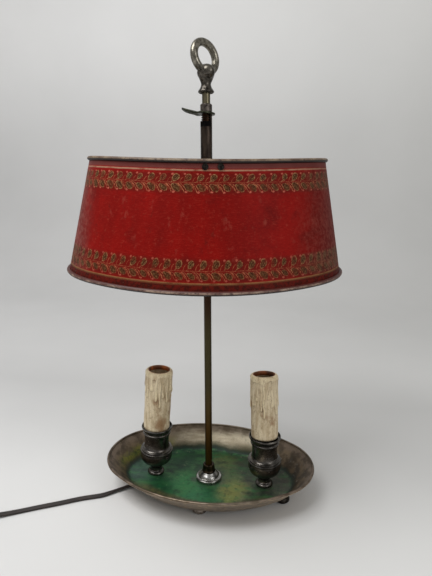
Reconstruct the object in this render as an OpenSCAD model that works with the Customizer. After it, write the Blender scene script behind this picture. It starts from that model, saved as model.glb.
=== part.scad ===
// Bouillotte lamp: an oval tray on five feet, two candle lights, a stem, and an oval sheet-metal
// shade on a carriage that slides and turns on the stem. Millimetres, +Z up, with the origin on
// the floor under the stem's axis. +X is the tray's long way and -Y is its front.

/* [Tray] */
// Length over the sheet at the rim
tray_l = 207.4; // [190:1:260]
// Width over the sheet at the rim
tray_w = 138; // [128:1:170]
// Height of the sheet's edge above the floor
tray_h = 28.5; // [24:0.5:36]
// How far the wall leans out from floor to rim
tray_flare = 21; // [16:0.5:25]
// Thickness of the sheet
tray_t = 1; // [0.8:0.1:1.5]
// Radius of the rolled rim
tray_roll_r = 1.2; // [1:0.1:1.8]

/* [Feet] */
// Height of the feet
foot_h = 6; // [5.5:0.5:9]
// Radius of each foot
foot_r = 7; // [5:0.5:8]

/* [Stem] */
// Height of the whole lamp
lamp_h = 418; // [390:1:520]
// Diameter of the rod
rod_d = 7; // [6:0.5:8]
// Diameter of the rod's threaded ends
stud_d = 5; // [4:0.5:5]
// Radius of the flange at the tray
flange_r = 12; // [10:0.5:15]
// Height of the flange
flange_h = 8; // [6:0.5:12]
// Height of the collar on the flange
collar_h = 8; // [5:0.5:14]

/* [Lights] */
// Distance from the stem to each light
light_x = 56; // [48:1:68]
// Height of the lights' feet
pedestal_h = 12; // [9:0.5:18]
// Height of the cups
cup_h = 41; // [36:1:50]
// Outer radius of a cup's neck
cup_r = 12.6; // [12.6:0.1:14]
// Outer radius of a candle cover
cover_r = 13.2; // [12:0.1:13.2]
// Wall of a candle cover
cover_t = 2.2; // [1.8:0.1:2.4]
// Length of a candle cover
cover_l = 62; // [55:1:80]
// How far the left cover leans toward the stem, degrees
left_lean = 4.3; // [0:0.1:5.5]
// How far the right cover leans, degrees
right_lean = 5.4; // [0:0.1:5.5]
// Direction of the right cover's lean, degrees from +X
right_lean_to = 112; // [0:1:359]
// Outer diameter of the threaded nipples
nipple_d = 8; // [7:0.5:9]

/* [Shade] */
// Length of the shade's sheet at the bottom
shade_l = 243.2; // [220:0.2:310]
// Width of the shade's sheet at the bottom
shade_w = 187; // [176:1:240]
// Height of the sheet
shade_h = 95.2; // [80:0.2:120]
// Height of the sheet's top edge above the floor, which the strap and the carriage go by
shade_z = 317.4; // [245.2:0.2:320.2]
// How far the shade narrows from bottom to top, on each side
shade_flare = 19.6; // [10:0.1:24]
// Thickness of the sheet
shade_t = 0.8; // [0.6:0.1:1.2]
// Radius of the bead on the top edge
top_bead_r = 1.6; // [1.1:0.1:2]
// Radius of the bead on the bottom edge
bottom_bead_r = 1.8; // [1.2:0.1:2.2]
// Turn of the carriage on the stem, degrees
carriage_turn = 12; // [-180:1:180]

/* [Carriage] */
// Outer diameter of the sleeve
sleeve_d = 10.2; // [10:0.1:12]
// Length of the sleeve below its window
sleeve_l = 43.5; // [30:0.5:60]
// Height of the window in the sleeve
window_h = 12.5; // [11:0.5:16]
// Height of the sleeve's cap
cap_h = 6.3; // [4:0.1:10]
// Width of the strap
strap_w = 18; // [16:1:24]
// Thickness of the strap
strap_t = 2; // [1.5:0.1:3]
// Turn of the strap from the shade's short way, degrees
strap_turn = 3.5; // [0:0.5:10]
// Distance between the two screws at each end of the strap
screw_gap = 11.3; // [9:0.1:13]
// Diameter of the screws
screw_d = 3; // [2:0.1:3.5]
// Thickness of the lever
lever_t = 1.6; // [1.2:0.1:2]
// Radius of the lever's disc
lever_r = 9.7; // [9:0.1:13]

/* [Cord] */
// Width of the flat cord
cord_w = 5.2; // [4.4:0.1:5.4]
// Thickness of the flat cord
cord_t = 2.8; // [2.2:0.1:3]
// Length of the switch on the cord, without its ends
switch_l = 58; // [50:1:64]
// Width of the switch
switch_w = 22; // [20:1:26]
// Height of the switch
switch_h = 14; // [13:0.5:18]
// Length of the plug's body
plug_l = 26; // [22:1:34]
// Width of the plug's body
plug_w = 20; // [19:1:24]

/* [Hidden] */
$fn = 96;

// Clearances
run_gap = 0.05;      // between a shaft and its bore, on the radius
hole_gap = 0.1;      // between a stud and a plain hole, on the radius
free_gap = 0.3;      // between faces that move past each other
seat_gap = 0.03;     // under a flat head on a curved wall

// Tray
floor_a = tray_l / 2 - tray_flare;
floor_b = tray_w / 2 - tray_flare;
wall_h = tray_h - foot_h;
floor_lap = 3;       // width of floor that is swept with the wall
floor_top = foot_h + tray_t;

// Feet: round-edged discs near the floor's edge. The last one is set 4 degrees back to clear the cord.
foot_end_inset = 4;
foot_side_inset = 6;
foot_angles = [-90, -18, 54, 126, 193];
foot_places = [
    for (a = foot_angles)
        [(floor_a - foot_end_inset) * cos(a), (floor_b - foot_side_inset) * sin(a)]
];
// The shortest way, in plan, from the axis of a light to the middle of a foot
light_to_foot = min([for (p = foot_places, side = [-1, 1]) norm(p - [side * light_x, 0])]);

// Stem
rod_r = rod_d / 2;
stud_r = stud_d / 2;
base_stud_r = 3;
stem_nut_h = 3.2;
stem_washer_t = 1;
stem_washer_r = 8;
stud_end_z = 1.2;
shoulder_z = floor_top + 2;
finial_h = 44;
finial_z = lamp_h - finial_h;
rod_top_z = finial_z + 2;
rod_stud_l = 12;

// Finial, from its bell up: [radius, height]
finial_outline = [
    [6.2, 0], [6.85, 0.5], [6.85, 1.6], [5.6, 3.2], [4.6, 5], [4.2, 7], [4.7, 8.5], [5.8, 10.4], [6.8, 12.4],
    [7.7, 14.4], [8.2, 16], [8.2, 17.2], [6.4, 19.5]
];
bell_hollow_r = 6;
knob_r = 5.8;
knob_z = 18;
ring_r = 12;
ring_bar_r = 3.2;
ring_turn = 53;
ring_lean = 12;
ring_shift = [-1, 0.7];

// Lights, in each light's own frame with z from the tray's floor
nipple_r = nipple_d / 2;
nipple_bore_r = nipple_r - 1.2;
nipple_low_z = 3.2;
nut_r = nipple_r + 3.5;
nut_h = 2;
light_washer_t = 0.8;
light_washer_r = min(9, light_to_foot - foot_r - 0.5);   // it stays clear of the feet
cup_nut_h = 3;
cup_floor_t = 3;
cup_wall = 1;
cup_foot_r = 9.6;
cup_z = floor_top + pedestal_h;
cup_top = cup_z + cup_h;
ledge_z = cup_top - 2.8;
lip_r = cover_r + 1;
cover_gap = 0.1;
cover_shift = 0.6;                       // how far a leaning cover has slid on its ledge
cover_lip_r = cover_r - cover_t - 1.3;   // the mouth is narrower than the bore
cover_lip_h = 3;
holder_r = cover_r - cover_t - 1.6;
holder_z = cup_top - 18;
holder_l = 56;
holder_plate_t = 3;
holder_wall = 1.8;
holder_web_z = 28;
nipple_top_z = holder_z + holder_plate_t + 1.5;
shell_r = holder_r - holder_wall - run_gap;
shell_t = 0.5;
contact_r = 1.9;
contact_disc_r = 4.2;

// Shade
shade_a = shade_l / 2;
shade_b = shade_w / 2;
shade_lean = atan2(shade_flare, shade_h);
bead_out = 0.9;     // the edges are rolled outwards

// Carriage, on the shade's top edge
sleeve_r = sleeve_d / 2;
liner_r = rod_r + run_gap + 0.5;
sleeve_bore_r = liner_r + run_gap;
shade_top_z = shade_z;
shade_low_z = shade_z - shade_h;
sleeve_z = shade_top_z - 14.4;
window_z = sleeve_z + sleeve_l;
window_top = window_z + window_h;
liner_inset = 1;
tongue_w = 6;
tongue_r = sleeve_r - 0.7;
strap_z = shade_top_z - 12.4;
tab_h = 9.5;
screw_z = strap_z + 4.5;
head_r = 2.4;
head_h = 1.3;
screw_reach = shade_t + strap_t + 1;
washer_h = 4.5;
spring_wire_r = 0.35;
spring_turns = 2.5;
spring_r = rod_r + run_gap + 0.1 + spring_wire_r;
pivot_x = sleeve_r - 0.8;
pivot_drop = 1.8;
lever_x = -2;
lever_tilt = 3;
lever_hole_r = rod_r + 0.2;
tab_bend_x = -8.6;
tab_tilt = 12;
tab_tip_r = 5.5;
tab_tip_x = -21.4;
spring_top_z = window_top - pivot_drop - lever_t / 2 - 0.1;

// Cord fittings under the tray. The cord leaves along cord_dir_a.
relief_from = [-44, -12];
relief_to = [-66, -17];
cord_dir_a = atan2(relief_to.y - relief_from.y, relief_to.x - relief_from.x);
relief_l = norm(relief_to - relief_from);
relief_low_z = 1.1;
relief_w = cord_w + 3.8;
relief_h = foot_h - relief_low_z - 0.3;
relief_tip_w = cord_w + 1.4;
relief_tip_z = [relief_low_z, 4.5];
clip_t = 0.8;
clip_l = 8;
clip_at = 6;
lead_r = 0.9;

// The cord's route: each point is [x, y, z] of its middle.
half_t = cord_t / 2;
route = [
    [-66, -17, 2.8], [-70.4, -18, 2.6], [-75.5, -20.8, 1.8], [-84.5, -28, half_t],
    [-96, -38, half_t], [-103, -42, half_t], [-117, -48.5, half_t], [-133, -58, half_t],
    [-148.5, -66.5, half_t], [-164, -75.5, half_t], [-178.5, -84.4, half_t + 1], [-190, -91.2, 4]
];
switch_at = [-216.8, -106.9];
switch_turn = 210.4;
switch_end_l = 2;
switch_end_w = 9;
switch_end_h = 7;
cord_switch_z = 4;
switch_reach = switch_l / 2 + switch_end_l;
coil_at = [-293, -111.5];
coil_r = 29;
coil_w = 16.2;
coil_z = 0.6;
coil_h = 9.4;
link_route = [
    [-243.5, -122.6, 4], [-252, -127.6, 3], [-262, -133.4, 2.2], [-270, -138.1, 2], [-276, -141.2, 2]
];
tail_route = [
    [-310.4, -81.8, 7.8], [-301.8, -76.7, 7], [-293, -71.6, 6], [-284, -66.4, 6], [-281, -64.6, 6]
];
left_lead_route = [
    [-43.95, -10.7, 2.6], [-39, -8.8, 1.8], [-36.6, -5, 1.5], [-38.5, -1.4, 1.5], [-43, 0.2, 1.5],
    [-48, 0.6, 1.5], [-51, 0.3, 1.5]
];
right_lead_route = [
    [-43.5, -13.1, 2.6], [-37, -12, 1.7], [-24, -10.5, 1.5], [-8, -10, 1.5], [10, -10, 1.5],
    [28, -8, 1.5], [42, -4, 1.5], [50, -0.5, 1.5]
];
// Up through a light's nipple: [short of its axis, z]
lead_rise = [[3.4, 1.5], [1.6, 2.2], [0.4, 4.2], [0, 8], [0, 16], [0, 30], [0, 40]];
tie_w = 6;
tie_turn = 65;

// Switch and plug
rocker_l = 14;
rocker_w = 8.6;
rocker_pin_r = 1.25;
rocker_tilt = 8;
rocker_low = 3;
rocker_high = 3.9;
rocker_dip = 2.7;
pocket_deep = 5;
pin_z = switch_h - 2.5;
plug_at = [-281, -64.6];
plug_turn = 30.4;
plug_h = 14;
cord_plug_z = 6;
blade_l = 17;
blade_w = 6.3;
blade_t = 1.5;
blade_gap = 12.7;
blade_in = 6;

// Colours
brass = "#5f5238";
dark_bronze = "#38322a";
pewter = "#8a8274";
gunmetal = "#3a3836";
chrome = "#c8c6c0";
cream = "#c9b994";
deep_red = "#7d100e";
worn_bronze = "#5f5041";
phenolic = "#2a2320";
cord_brown = "#2b1d14";

// A four-centre oval drawn on 3-4-5 triangles: two end arcs and two side arcs that meet smoothly.
// a and b are its half length and half width, and ovals with the same a - b share their centres.
function end_at(a, b) = 1.5 * (a - b);
function side_at(a, b) = 2 * (a - b);
function end_r(a, b) = a - end_at(a, b);
function side_r(a, b) = b + side_at(a, b);

// The wedge of the plan that an end arc or a side arc takes
module end_wedge(a, b) {
    reach = side_r(a, b);
    linear_extrude(2 * lamp_h, center = true)
        polygon([
            [end_at(a, b), 0], [end_at(a, b) + 3 * reach, -4 * reach], [end_at(a, b) + 3 * reach, 4 * reach]
        ]);
}

module side_wedge(a, b) {
    reach = side_r(a, b);
    linear_extrude(2 * lamp_h, center = true)
        polygon([
            [-end_at(a, b), 0], [end_at(a, b), 0],
            [end_at(a, b) + 3 * reach, 4 * reach], [-end_at(a, b) - 3 * reach, 4 * reach]
        ]);
}

// Sweeps a profile around an oval. In the profile, x is the distance out from the oval.
module oval_sweep(a, b) {
    for (half = [0, 180])
        rotate(half) {
            intersection() {
                translate([end_at(a, b), 0]) rotate_extrude() translate([end_r(a, b), 0]) children();
                end_wedge(a, b);
            }
            intersection() {
                translate([0, -side_at(a, b)]) rotate_extrude() translate([side_r(a, b), 0]) children();
                side_wedge(a, b);
            }
        }
}

module oval_plate(a, b, h) {
    for (side = [-1, 1]) translate([side * end_at(a, b), 0]) cylinder(r = end_r(a, b), h = h);
    intersection() {
        translate([0, -side_at(a, b)]) cylinder(r = side_r(a, b), h = h);
        translate([0, side_at(a, b)]) cylinder(r = side_r(a, b), h = h);
        union() {
            side_wedge(a, b);
            rotate(180) side_wedge(a, b);
        }
    }
}

// The level width of a sheet of thickness t that leans by run over rise
function level_t(t, run, rise) = t * norm([run, rise]) / rise;

// The section of a leaning sheet, from its outer bottom corner
module sheet_section(run, rise, t) {
    w = level_t(t, run, rise);
    polygon([[0, 0], [run, rise], [run - w, rise], [-w, 0]]);
}

// The section of a roll around a sheet's edge, which leaves room for the sheet. Its middle is out from the
// middle of the sheet.
module roll_section(r, run, rise, t, edge, out = 0) {
    w = level_t(t, run, rise);
    difference() {
        translate([run * edge - w / 2 + out, rise * edge]) circle(r = r);
        sheet_section(run, rise, t);
    }
}

module ring(r, bore_r, h) {
    difference() {
        cylinder(r = r, h = h);
        translate([0, 0, -1]) cylinder(r = bore_r, h = h + 2);
    }
}

module hex_nut(r, bore_r, h) {
    difference() {
        cylinder(r = r, h = h, $fn = 6);
        translate([0, 0, -1]) cylinder(r = bore_r, h = h + 2);
    }
}

// Sweeps an eight-sided flat section along a route. The section's wide way starts along side.
function unit(v) = v / norm(v);
function tangent(p, i) = unit(p[min(i + 1, len(p) - 1)] - p[max(i - 1, 0)]);
function across(v, t) = unit(v - (v * t) * t);
function section(w, t) = [
    [w / 2, -t / 4], [w / 2, t / 4], [w / 4, t / 2], [-w / 4, t / 2],
    [-w / 2, t / 4], [-w / 2, -t / 4], [-w / 4, -t / 2], [w / 4, -t / 2]
];
module swept(p, w, t, side) {
    outline = section(w, t);
    n = len(outline);
    wide = [
        for (i = 0, s = across(side, tangent(p, 0)); i < len(p);
             i = i + 1, s = across(s, tangent(p, min(i, len(p) - 1)))) s
    ];
    points = [
        for (i = [0:len(p) - 1])
            let(up = cross(tangent(p, i), wide[i]))
                for (q = outline) p[i] + q.x * wide[i] + q.y * up
    ];
    faces = concat(
        [[for (k = [0:n - 1]) k]],
        [for (i = [0:len(p) - 2], k = [0:n - 1])
            [i * n + k, (i + 1) * n + k, (i + 1) * n + (k + 1) % n, i * n + (k + 1) % n]],
        [[for (k = [n - 1:-1:0]) (len(p) - 1) * n + k]]
    );
    polyhedron(points, faces, convexity = 6);
}

// Tray

module tray() {
    color(pewter)
        difference() {
            union() {
                translate([0, 0, foot_h]) {
                    oval_plate(floor_a - floor_lap / 2, floor_b - floor_lap / 2, tray_t);
                    oval_sweep(floor_a, floor_b)
                        polygon([
                            [-floor_lap, 0], [0, 0], [tray_flare, wall_h],
                            [tray_flare - level_t(tray_t, tray_flare, wall_h), wall_h],
                            [tray_flare * tray_t / wall_h - level_t(tray_t, tray_flare, wall_h), tray_t],
                            [-floor_lap, tray_t]
                        ]);
                }
            }
            cylinder(r = base_stud_r + hole_gap, h = tray_h);
            for (side = [-1, 1])
                translate([side * light_x, 0]) cylinder(r = nipple_r + hole_gap, h = tray_h);
        }
}

module tray_roll() {
    color(pewter)
        translate([0, 0, foot_h])
            oval_sweep(floor_a, floor_b)
                roll_section(tray_roll_r, tray_flare, wall_h, tray_t, 1);
}

module foot(k) {
    edge_r = foot_h / 2;
    color(pewter)
        translate(foot_places[k])
            rotate_extrude() {
                square([foot_r - edge_r, foot_h]);
                intersection() {
                    translate([foot_r - edge_r, edge_r]) circle(r = edge_r);
                    square([foot_r, foot_h]);
                }
            }
}

// Stem

module stem_rod() {
    color(brass) {
        translate([0, 0, stud_end_z]) cylinder(r = base_stud_r, h = shoulder_z - stud_end_z);
        translate([0, 0, shoulder_z]) cylinder(r = rod_r, h = rod_top_z - shoulder_z);
        translate([0, 0, rod_top_z]) cylinder(r = stud_r, h = rod_stud_l);
    }
}

module stem_flange() {
    outline = [
        [0, 0], [flange_r, 0], [flange_r, flange_h * 0.3], [flange_r - 1.5, flange_h * 0.38],
        [flange_r - 3, flange_h * 0.45], [flange_r - 3, flange_h * 0.65],
        [flange_r - 4, flange_h * 0.85], [flange_r - 5.3, flange_h], [0, flange_h]
    ];
    color(chrome)
        difference() {
            translate([0, 0, floor_top]) rotate_extrude() polygon(outline);
            cylinder(r = base_stud_r + run_gap, h = shoulder_z + 1);
            translate([0, 0, shoulder_z]) cylinder(r = rod_r + run_gap, h = flange_h);
        }
}

module stem_collar() {
    color(dark_bronze)
        translate([0, 0, floor_top + flange_h])
            difference() {
                cylinder(r1 = rod_r + 3.2, r2 = rod_r + 2, h = collar_h);
                translate([0, 0, -1]) cylinder(r = rod_r + run_gap, h = collar_h + 2);
            }
}

module stem_washer() {
    color(brass)
        translate([0, 0, foot_h - stem_washer_t])
            ring(stem_washer_r, base_stud_r + run_gap, stem_washer_t);
}

module stem_nut() {
    color(brass)
        translate([0, 0, foot_h - stem_washer_t - stem_nut_h])
            hex_nut(base_stud_r + 2.8, base_stud_r + run_gap, stem_nut_h);
}

module finial() {
    hollow = [[0, -1], [bell_hollow_r, -1], [bell_hollow_r, 0.3], [rod_r + 0.2, 3], [0, 3]];
    color(dark_bronze)
        translate([0, 0, finial_z]) {
            difference() {
                rotate_extrude() polygon(concat([[0, 0]], finial_outline, [[0, 19.5]]));
                rotate_extrude() polygon(hollow);
                cylinder(r = stud_r + run_gap, h = rod_top_z - finial_z + rod_stud_l + 0.5);
            }
            translate([0, 0, knob_z])
                intersection() {
                    sphere(r = knob_r);
                    translate([-knob_r, -knob_r, -knob_r / 2]) cube(2 * knob_r);
                }
            translate([ring_shift.x, ring_shift.y, finial_h - ring_bar_r - ring_r * cos(ring_lean)])
                rotate([0, 0, ring_turn])
                    rotate([90 - ring_lean, 0, 0])
                        rotate_extrude() translate([ring_r, 0]) circle(r = ring_bar_r);
        }
}

// Lights: side is -1 for the left one and 1 for the right one.

module at_light(side) {
    translate([side * light_x, 0]) children();
}

// The leaning frame of a candle cover, with z = 0 at the height where it leans from
function lean_of(side) = side < 0 ? left_lean : right_lean;
function lean_to(side) = side < 0 ? 0 : right_lean_to;
module leaning(side, z) {
    at_light(side)
        translate([0, 0, z]) rotate(lean_to(side)) rotate([0, lean_of(side), 0]) children();
}

module pedestal(side) {
    neck = pedestal_h - 5;
    outline = [
        [nipple_r + hole_gap, 0], [8.1, 0], [8.5, 0.6], [8.5, 2], [7.4, 3.2], [6.2, 3.8],
        [5.7, neck - 1.5], [5.7, neck], [6.6, neck + 1.6], [7.9, neck + 3.2], [cup_foot_r, pedestal_h],
        [nipple_r + hole_gap, pedestal_h]
    ];
    color(gunmetal) at_light(side) translate([0, 0, floor_top]) rotate_extrude() polygon(outline);
}

module cup(side) {
    rise = ledge_z - cup_z;
    outside = [
        [cup_foot_r, 0], [11.8, 1.2], [13.8, 2.8], [15.1, 4.8], [15.6, 6.8], [15.6, 7.4], [16.1, 7.8],
        [16.1, 9.4], [15.6, 9.8], [15.6, 10.4], [16.1, 10.8], [16.1, 12.2], [15.4, 12.8],
        [cup_r + 1.8, 13.6], [cup_r + 1.1, 15.6], [cup_r + 0.4, 18], [cup_r, 20], [cup_r, rise - 13],
        [cup_r + 0.4, rise - 9], [cup_r + 0.7, rise - 6.4], [cup_r + 1.3, rise - 6],
        [cup_r + 1.3, rise - 4.8], [cup_r + 0.9, rise - 4.4], [cup_r + 0.9, rise - 3.2],
        [lip_r + 0.5, rise - 0.6], [lip_r + 1.3, rise + 1.2], [lip_r + 1.3, rise + 2.2],
        [lip_r + 0.9, cup_h]
    ];
    inside = [
        [lip_r + 0.4, cup_h], [lip_r, rise + 1], [lip_r, rise], [cup_r - cup_wall, rise],
        [cup_r - cup_wall, 12], [11, 7], [9, cup_floor_t], [nipple_r + hole_gap, cup_floor_t],
        [nipple_r + hole_gap, 0]
    ];
    color(gunmetal)
        at_light(side) translate([0, 0, cup_z]) rotate_extrude() polygon(concat(outside, inside));
}

module cup_nut(side) {
    color(brass)
        at_light(side)
            translate([0, 0, cup_z + cup_floor_t]) hex_nut(nut_r, nipple_r + run_gap, cup_nut_h);
}

module nipple(side) {
    color(brass)
        at_light(side)
            translate([0, 0, nipple_low_z]) ring(nipple_r, nipple_bore_r, nipple_top_z - nipple_low_z);
}

module light_washer(side) {
    color(brass)
        at_light(side)
            translate([0, 0, foot_h - light_washer_t])
                ring(light_washer_r, nipple_r + run_gap, light_washer_t);
}

module light_nut(side) {
    color(brass)
        at_light(side)
            translate([0, 0, foot_h - light_washer_t - nut_h]) hex_nut(nut_r, nipple_r + run_gap, nut_h);
}

module lampholder(side) {
    bore_r = nipple_r + 0.4;
    cavity_r = holder_r - holder_wall;
    outline = [
        [bore_r, 0], [holder_r, 0], [holder_r, holder_l - 1], [holder_r - 0.6, holder_l],
        [cavity_r, holder_l], [cavity_r, holder_web_z + 3], [contact_r + run_gap, holder_web_z + 3],
        [contact_r + run_gap, holder_web_z], [holder_r - 1.2, holder_web_z],
        [holder_r - 1.2, holder_plate_t], [bore_r, holder_plate_t]
    ];
    color(phenolic)
        leaning(side, holder_z + holder_plate_t)
            translate([0, 0, -holder_plate_t]) rotate_extrude() polygon(outline);
}

module screw_shell(side) {
    low = holder_web_z + 4.5;
    color(brass)
        leaning(side, holder_z + holder_plate_t)
            translate([0, 0, low - holder_plate_t]) ring(shell_r, shell_r - shell_t, holder_l - low - 1);
}

module contact(side) {
    color(brass)
        leaning(side, holder_z + holder_plate_t)
            translate([0, 0, holder_web_z - holder_plate_t]) {
                translate([0, 0, -1]) cylinder(r = contact_r, h = 4.5);
                translate([0, 0, 3]) cylinder(r = contact_disc_r, h = 0.8);
            }
}

module cover(side) {
    bore_r = cover_r - cover_t;
    round_r = 3;
    edge = [for (a = [0:15:75]) [cover_r - round_r * (1 - cos(a)), cover_l - round_r * (1 - sin(a))]];
    outline = concat(
        [[bore_r, 0], [cover_r, 0]], edge,
        [[cover_lip_r + 0.5, cover_l], [cover_lip_r, cover_l - 0.6], [cover_lip_r, cover_l - cover_lip_h],
         [bore_r, cover_l - cover_lip_h - 1]]
    );
    raise = cover_r * sin(lean_of(side)) + cover_gap;
    slide = cover_shift * sign(lean_of(side));
    color(cream)
        at_light(side)
            rotate(lean_to(side))
                translate([slide, 0, ledge_z + raise])
                    rotate([0, lean_of(side), 0]) rotate_extrude() polygon(outline);
}

// Shade, in the carriage's frame

module on_carriage() {
    rotate(carriage_turn) children();
}

module at_shade_screw(end, side) {
    wide_r = side_r(shade_a, shade_b);
    inset = shade_flare * (screw_z - shade_low_z) / shade_h;
    middle = (shade_b - inset) * sin(strap_turn);
    rotate(180 * end)
        translate([0, -side_at(shade_a, shade_b)])
            rotate(90 + asin((middle + side * screw_gap / 2) / (wide_r - inset)))
                translate([wide_r - inset, 0, screw_z]) rotate([0, 90 - shade_lean, 0]) children();
}

module shade() {
    color(deep_red)
        on_carriage()
            difference() {
                translate([0, 0, shade_low_z])
                    oval_sweep(shade_a, shade_b)
                        sheet_section(-shade_flare, shade_h, shade_t);
                for (end = [0, 1], side = [-1, 1])
                    at_shade_screw(end, side)
                        translate([0, 0, -screw_reach]) cylinder(r = screw_d / 2 + hole_gap, h = 2 * screw_reach);
            }
}

module shade_bead(r, edge) {
    color(worn_bronze)
        on_carriage()
            translate([0, 0, shade_low_z])
                oval_sweep(shade_a, shade_b)
                    roll_section(r, -shade_flare, shade_h, shade_t, edge, bead_out);
}

module shade_screw(end, side) {
    color(phenolic)
        on_carriage()
            at_shade_screw(end, side) {
                translate([0, 0, -screw_reach])
                    cylinder(r = screw_d / 2, h = screw_reach + seat_gap + head_h / 2);
                difference() {
                    translate([0, 0, seat_gap]) cylinder(r = head_r, h = head_h);
                    translate([-head_r - 1, -0.3, head_h - 0.5]) cube([2 * head_r + 2, 0.6, 2]);
                }
            }
}

module shade_strap() {
    wide_r = side_r(shade_a, shade_b);
    wall = level_t(shade_t, shade_flare, shade_h);
    tab = level_t(strap_t, shade_flare, shade_h);
    inset = shade_flare * (strap_z - shade_low_z) / shade_h;
    bar_r = wide_r - inset - wall - tab / 2;
    run = -shade_flare * tab_h / shade_h;
    color(brass)
        on_carriage()
            difference() {
                union() {
                    intersection() {
                        translate([0, 0, strap_z])
                            oval_sweep(shade_a, shade_b)
                                translate([-inset - wall, 0]) sheet_section(run, tab_h, strap_t);
                        rotate(strap_turn)
                            translate([-strap_w / 2, -shade_b, strap_z - 1])
                                cube([strap_w, 2 * shade_b, tab_h + 2]);
                    }
                    intersection() {
                        translate([0, -side_at(shade_a, shade_b), strap_z]) cylinder(r = bar_r, h = strap_t);
                        translate([0, side_at(shade_a, shade_b), strap_z]) cylinder(r = bar_r, h = strap_t);
                        rotate(strap_turn)
                            translate([-strap_w / 2, -shade_b, strap_z - 1])
                                cube([strap_w, 2 * shade_b, strap_t + 2]);
                    }
                }
                translate([0, 0, strap_z - 1]) cylinder(r = sleeve_r + 0.02, h = strap_t + 2);
                for (end = [0, 1], side = [-1, 1])
                    at_shade_screw(end, side)
                        translate([0, 0, -strap_t - 5]) cylinder(r = screw_d / 2 + run_gap, h = strap_t + 5);
            }
}

// Carriage: the sleeve has a window that leaves a tongue on one side, under its cap.

module slide_sleeve() {
    color(brass)
        on_carriage() {
            translate([0, 0, sleeve_z]) ring(sleeve_r, sleeve_bore_r, sleeve_l);
            intersection() {
                translate([0, 0, window_z]) ring(sleeve_r, tongue_r, window_h);
                translate([0, -tongue_w / 2, window_z]) cube([sleeve_r, tongue_w, window_h]);
            }
        }
}

module sleeve_cap() {
    color(brass)
        on_carriage()
            translate([0, 0, window_top])
                difference() {
                    union() {
                        cylinder(r = sleeve_r, h = cap_h - 0.8);
                        translate([0, 0, cap_h - 0.8])
                            cylinder(r1 = sleeve_r, r2 = sleeve_r - 0.8, h = 0.8);
                    }
                    translate([0, 0, -1]) cylinder(r = rod_r + 2 * run_gap, h = cap_h + 2);
                }
}

module sleeve_liner() {
    color(phenolic)
        translate([0, 0, sleeve_z + liner_inset])
            ring(liner_r, rod_r + run_gap, sleeve_l - 2 * liner_inset);
}

module grip_washer() {
    color(phenolic)
        on_carriage()
            translate([0, 0, window_z])
                difference() {
                    ring(sleeve_r + 0.05, rod_r + 2 * run_gap, washer_h);
                    translate([tongue_r - 1.3, -tongue_w / 2 - hole_gap, -1])
                        cube([sleeve_r, tongue_w + 2 * hole_gap, washer_h + 2]);
                }
}

module lever() {
    pivot_z = window_top - pivot_drop;
    reach = pivot_x - tab_bend_x;
    tab_l = tab_bend_x - tab_tip_x - tab_tip_r;
    color(dark_bronze)
        on_carriage()
            translate([pivot_x, 0, pivot_z])
                rotate([0, lever_tilt, 0]) {
                    difference() {
                        translate([lever_x - pivot_x, 0, -lever_t / 2]) cylinder(r = lever_r, h = lever_t);
                        translate([-pivot_x, 0, -lever_t]) cylinder(r = lever_hole_r, h = 2 * lever_t);
                        translate([-pivot_x, -tongue_w / 2 - free_gap, -lever_t])
                            cube([sleeve_r + free_gap, tongue_w + 2 * free_gap, 2 * lever_t]);
                    }
                    translate([-reach, 0, 0])
                        rotate([0, tab_tilt, 0])
                            translate([0, 0, -lever_t / 2]) {
                                translate([-tab_l, 0, 0]) cylinder(r = tab_tip_r, h = lever_t);
                                translate([-tab_l, -tab_tip_r, 0]) cube([tab_l, 2 * tab_tip_r, lever_t]);
                            }
                }
}

module lever_spring() {
    low = window_z + washer_h + spring_wire_r + 0.05;
    rise = spring_top_z - spring_wire_r - low;
    steps = 12 * spring_turns;
    helix = [
        for (i = [0:steps])
            [spring_r * cos(30 * i), spring_r * sin(30 * i), low + rise * i / steps]
    ];
    color(brass) on_carriage() swept(helix, 2 * spring_wire_r, 2 * spring_wire_r, [0, 0, 1]);
}

// Cord fittings under the tray

module along_cord() {
    translate([relief_from.x, relief_from.y]) rotate(cord_dir_a) children();
}

module strain_relief() {
    thin = 0.01;
    color(cord_brown)
        along_cord()
            hull() {
                translate([0, -relief_w / 2, relief_low_z]) cube([clip_at + clip_l, relief_w, relief_h]);
                translate([relief_l - thin, -relief_tip_w / 2, relief_tip_z[0]])
                    cube([thin, relief_tip_w, relief_tip_z[1] - relief_tip_z[0]]);
            }
}

module cord_clip() {
    low = relief_low_z - clip_t;
    color(brass)
        along_cord()
            translate([clip_at, 0, 0])
                difference() {
                    translate([0, -relief_w / 2 - clip_t - hole_gap, low])
                        cube([clip_l, relief_w + 2 * (clip_t + hole_gap), foot_h - low]);
                    translate([-1, -relief_w / 2 - hole_gap, relief_low_z])
                        cube([clip_l + 2, relief_w + 2 * hole_gap, foot_h]);
                }
}

module lead(side, along) {
    rise = [for (r = lead_rise) [side * (light_x - r[0]), 0, r[1]]];
    color(cord_brown) swept(concat(along, rise), 2 * lead_r, 2 * lead_r, [0, 1, 0]);
}

// Cord, switch and plug

module cord_tube() {
    color(cord_brown) swept(route, cord_w, cord_t, [0, 1, 0]);
}

module cord_link() {
    color(cord_brown) swept(link_route, cord_w, cord_t, [0, 1, 0]);
}

module cord_tail() {
    color(cord_brown) swept(tail_route, cord_w, cord_t, [0, 1, 0]);
}

module cord_coil() {
    color(cord_brown)
        translate([coil_at.x, coil_at.y, coil_z])
            rotate_extrude()
                translate([coil_r - coil_w / 2, 0]) square([coil_w, coil_h]);
}

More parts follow.
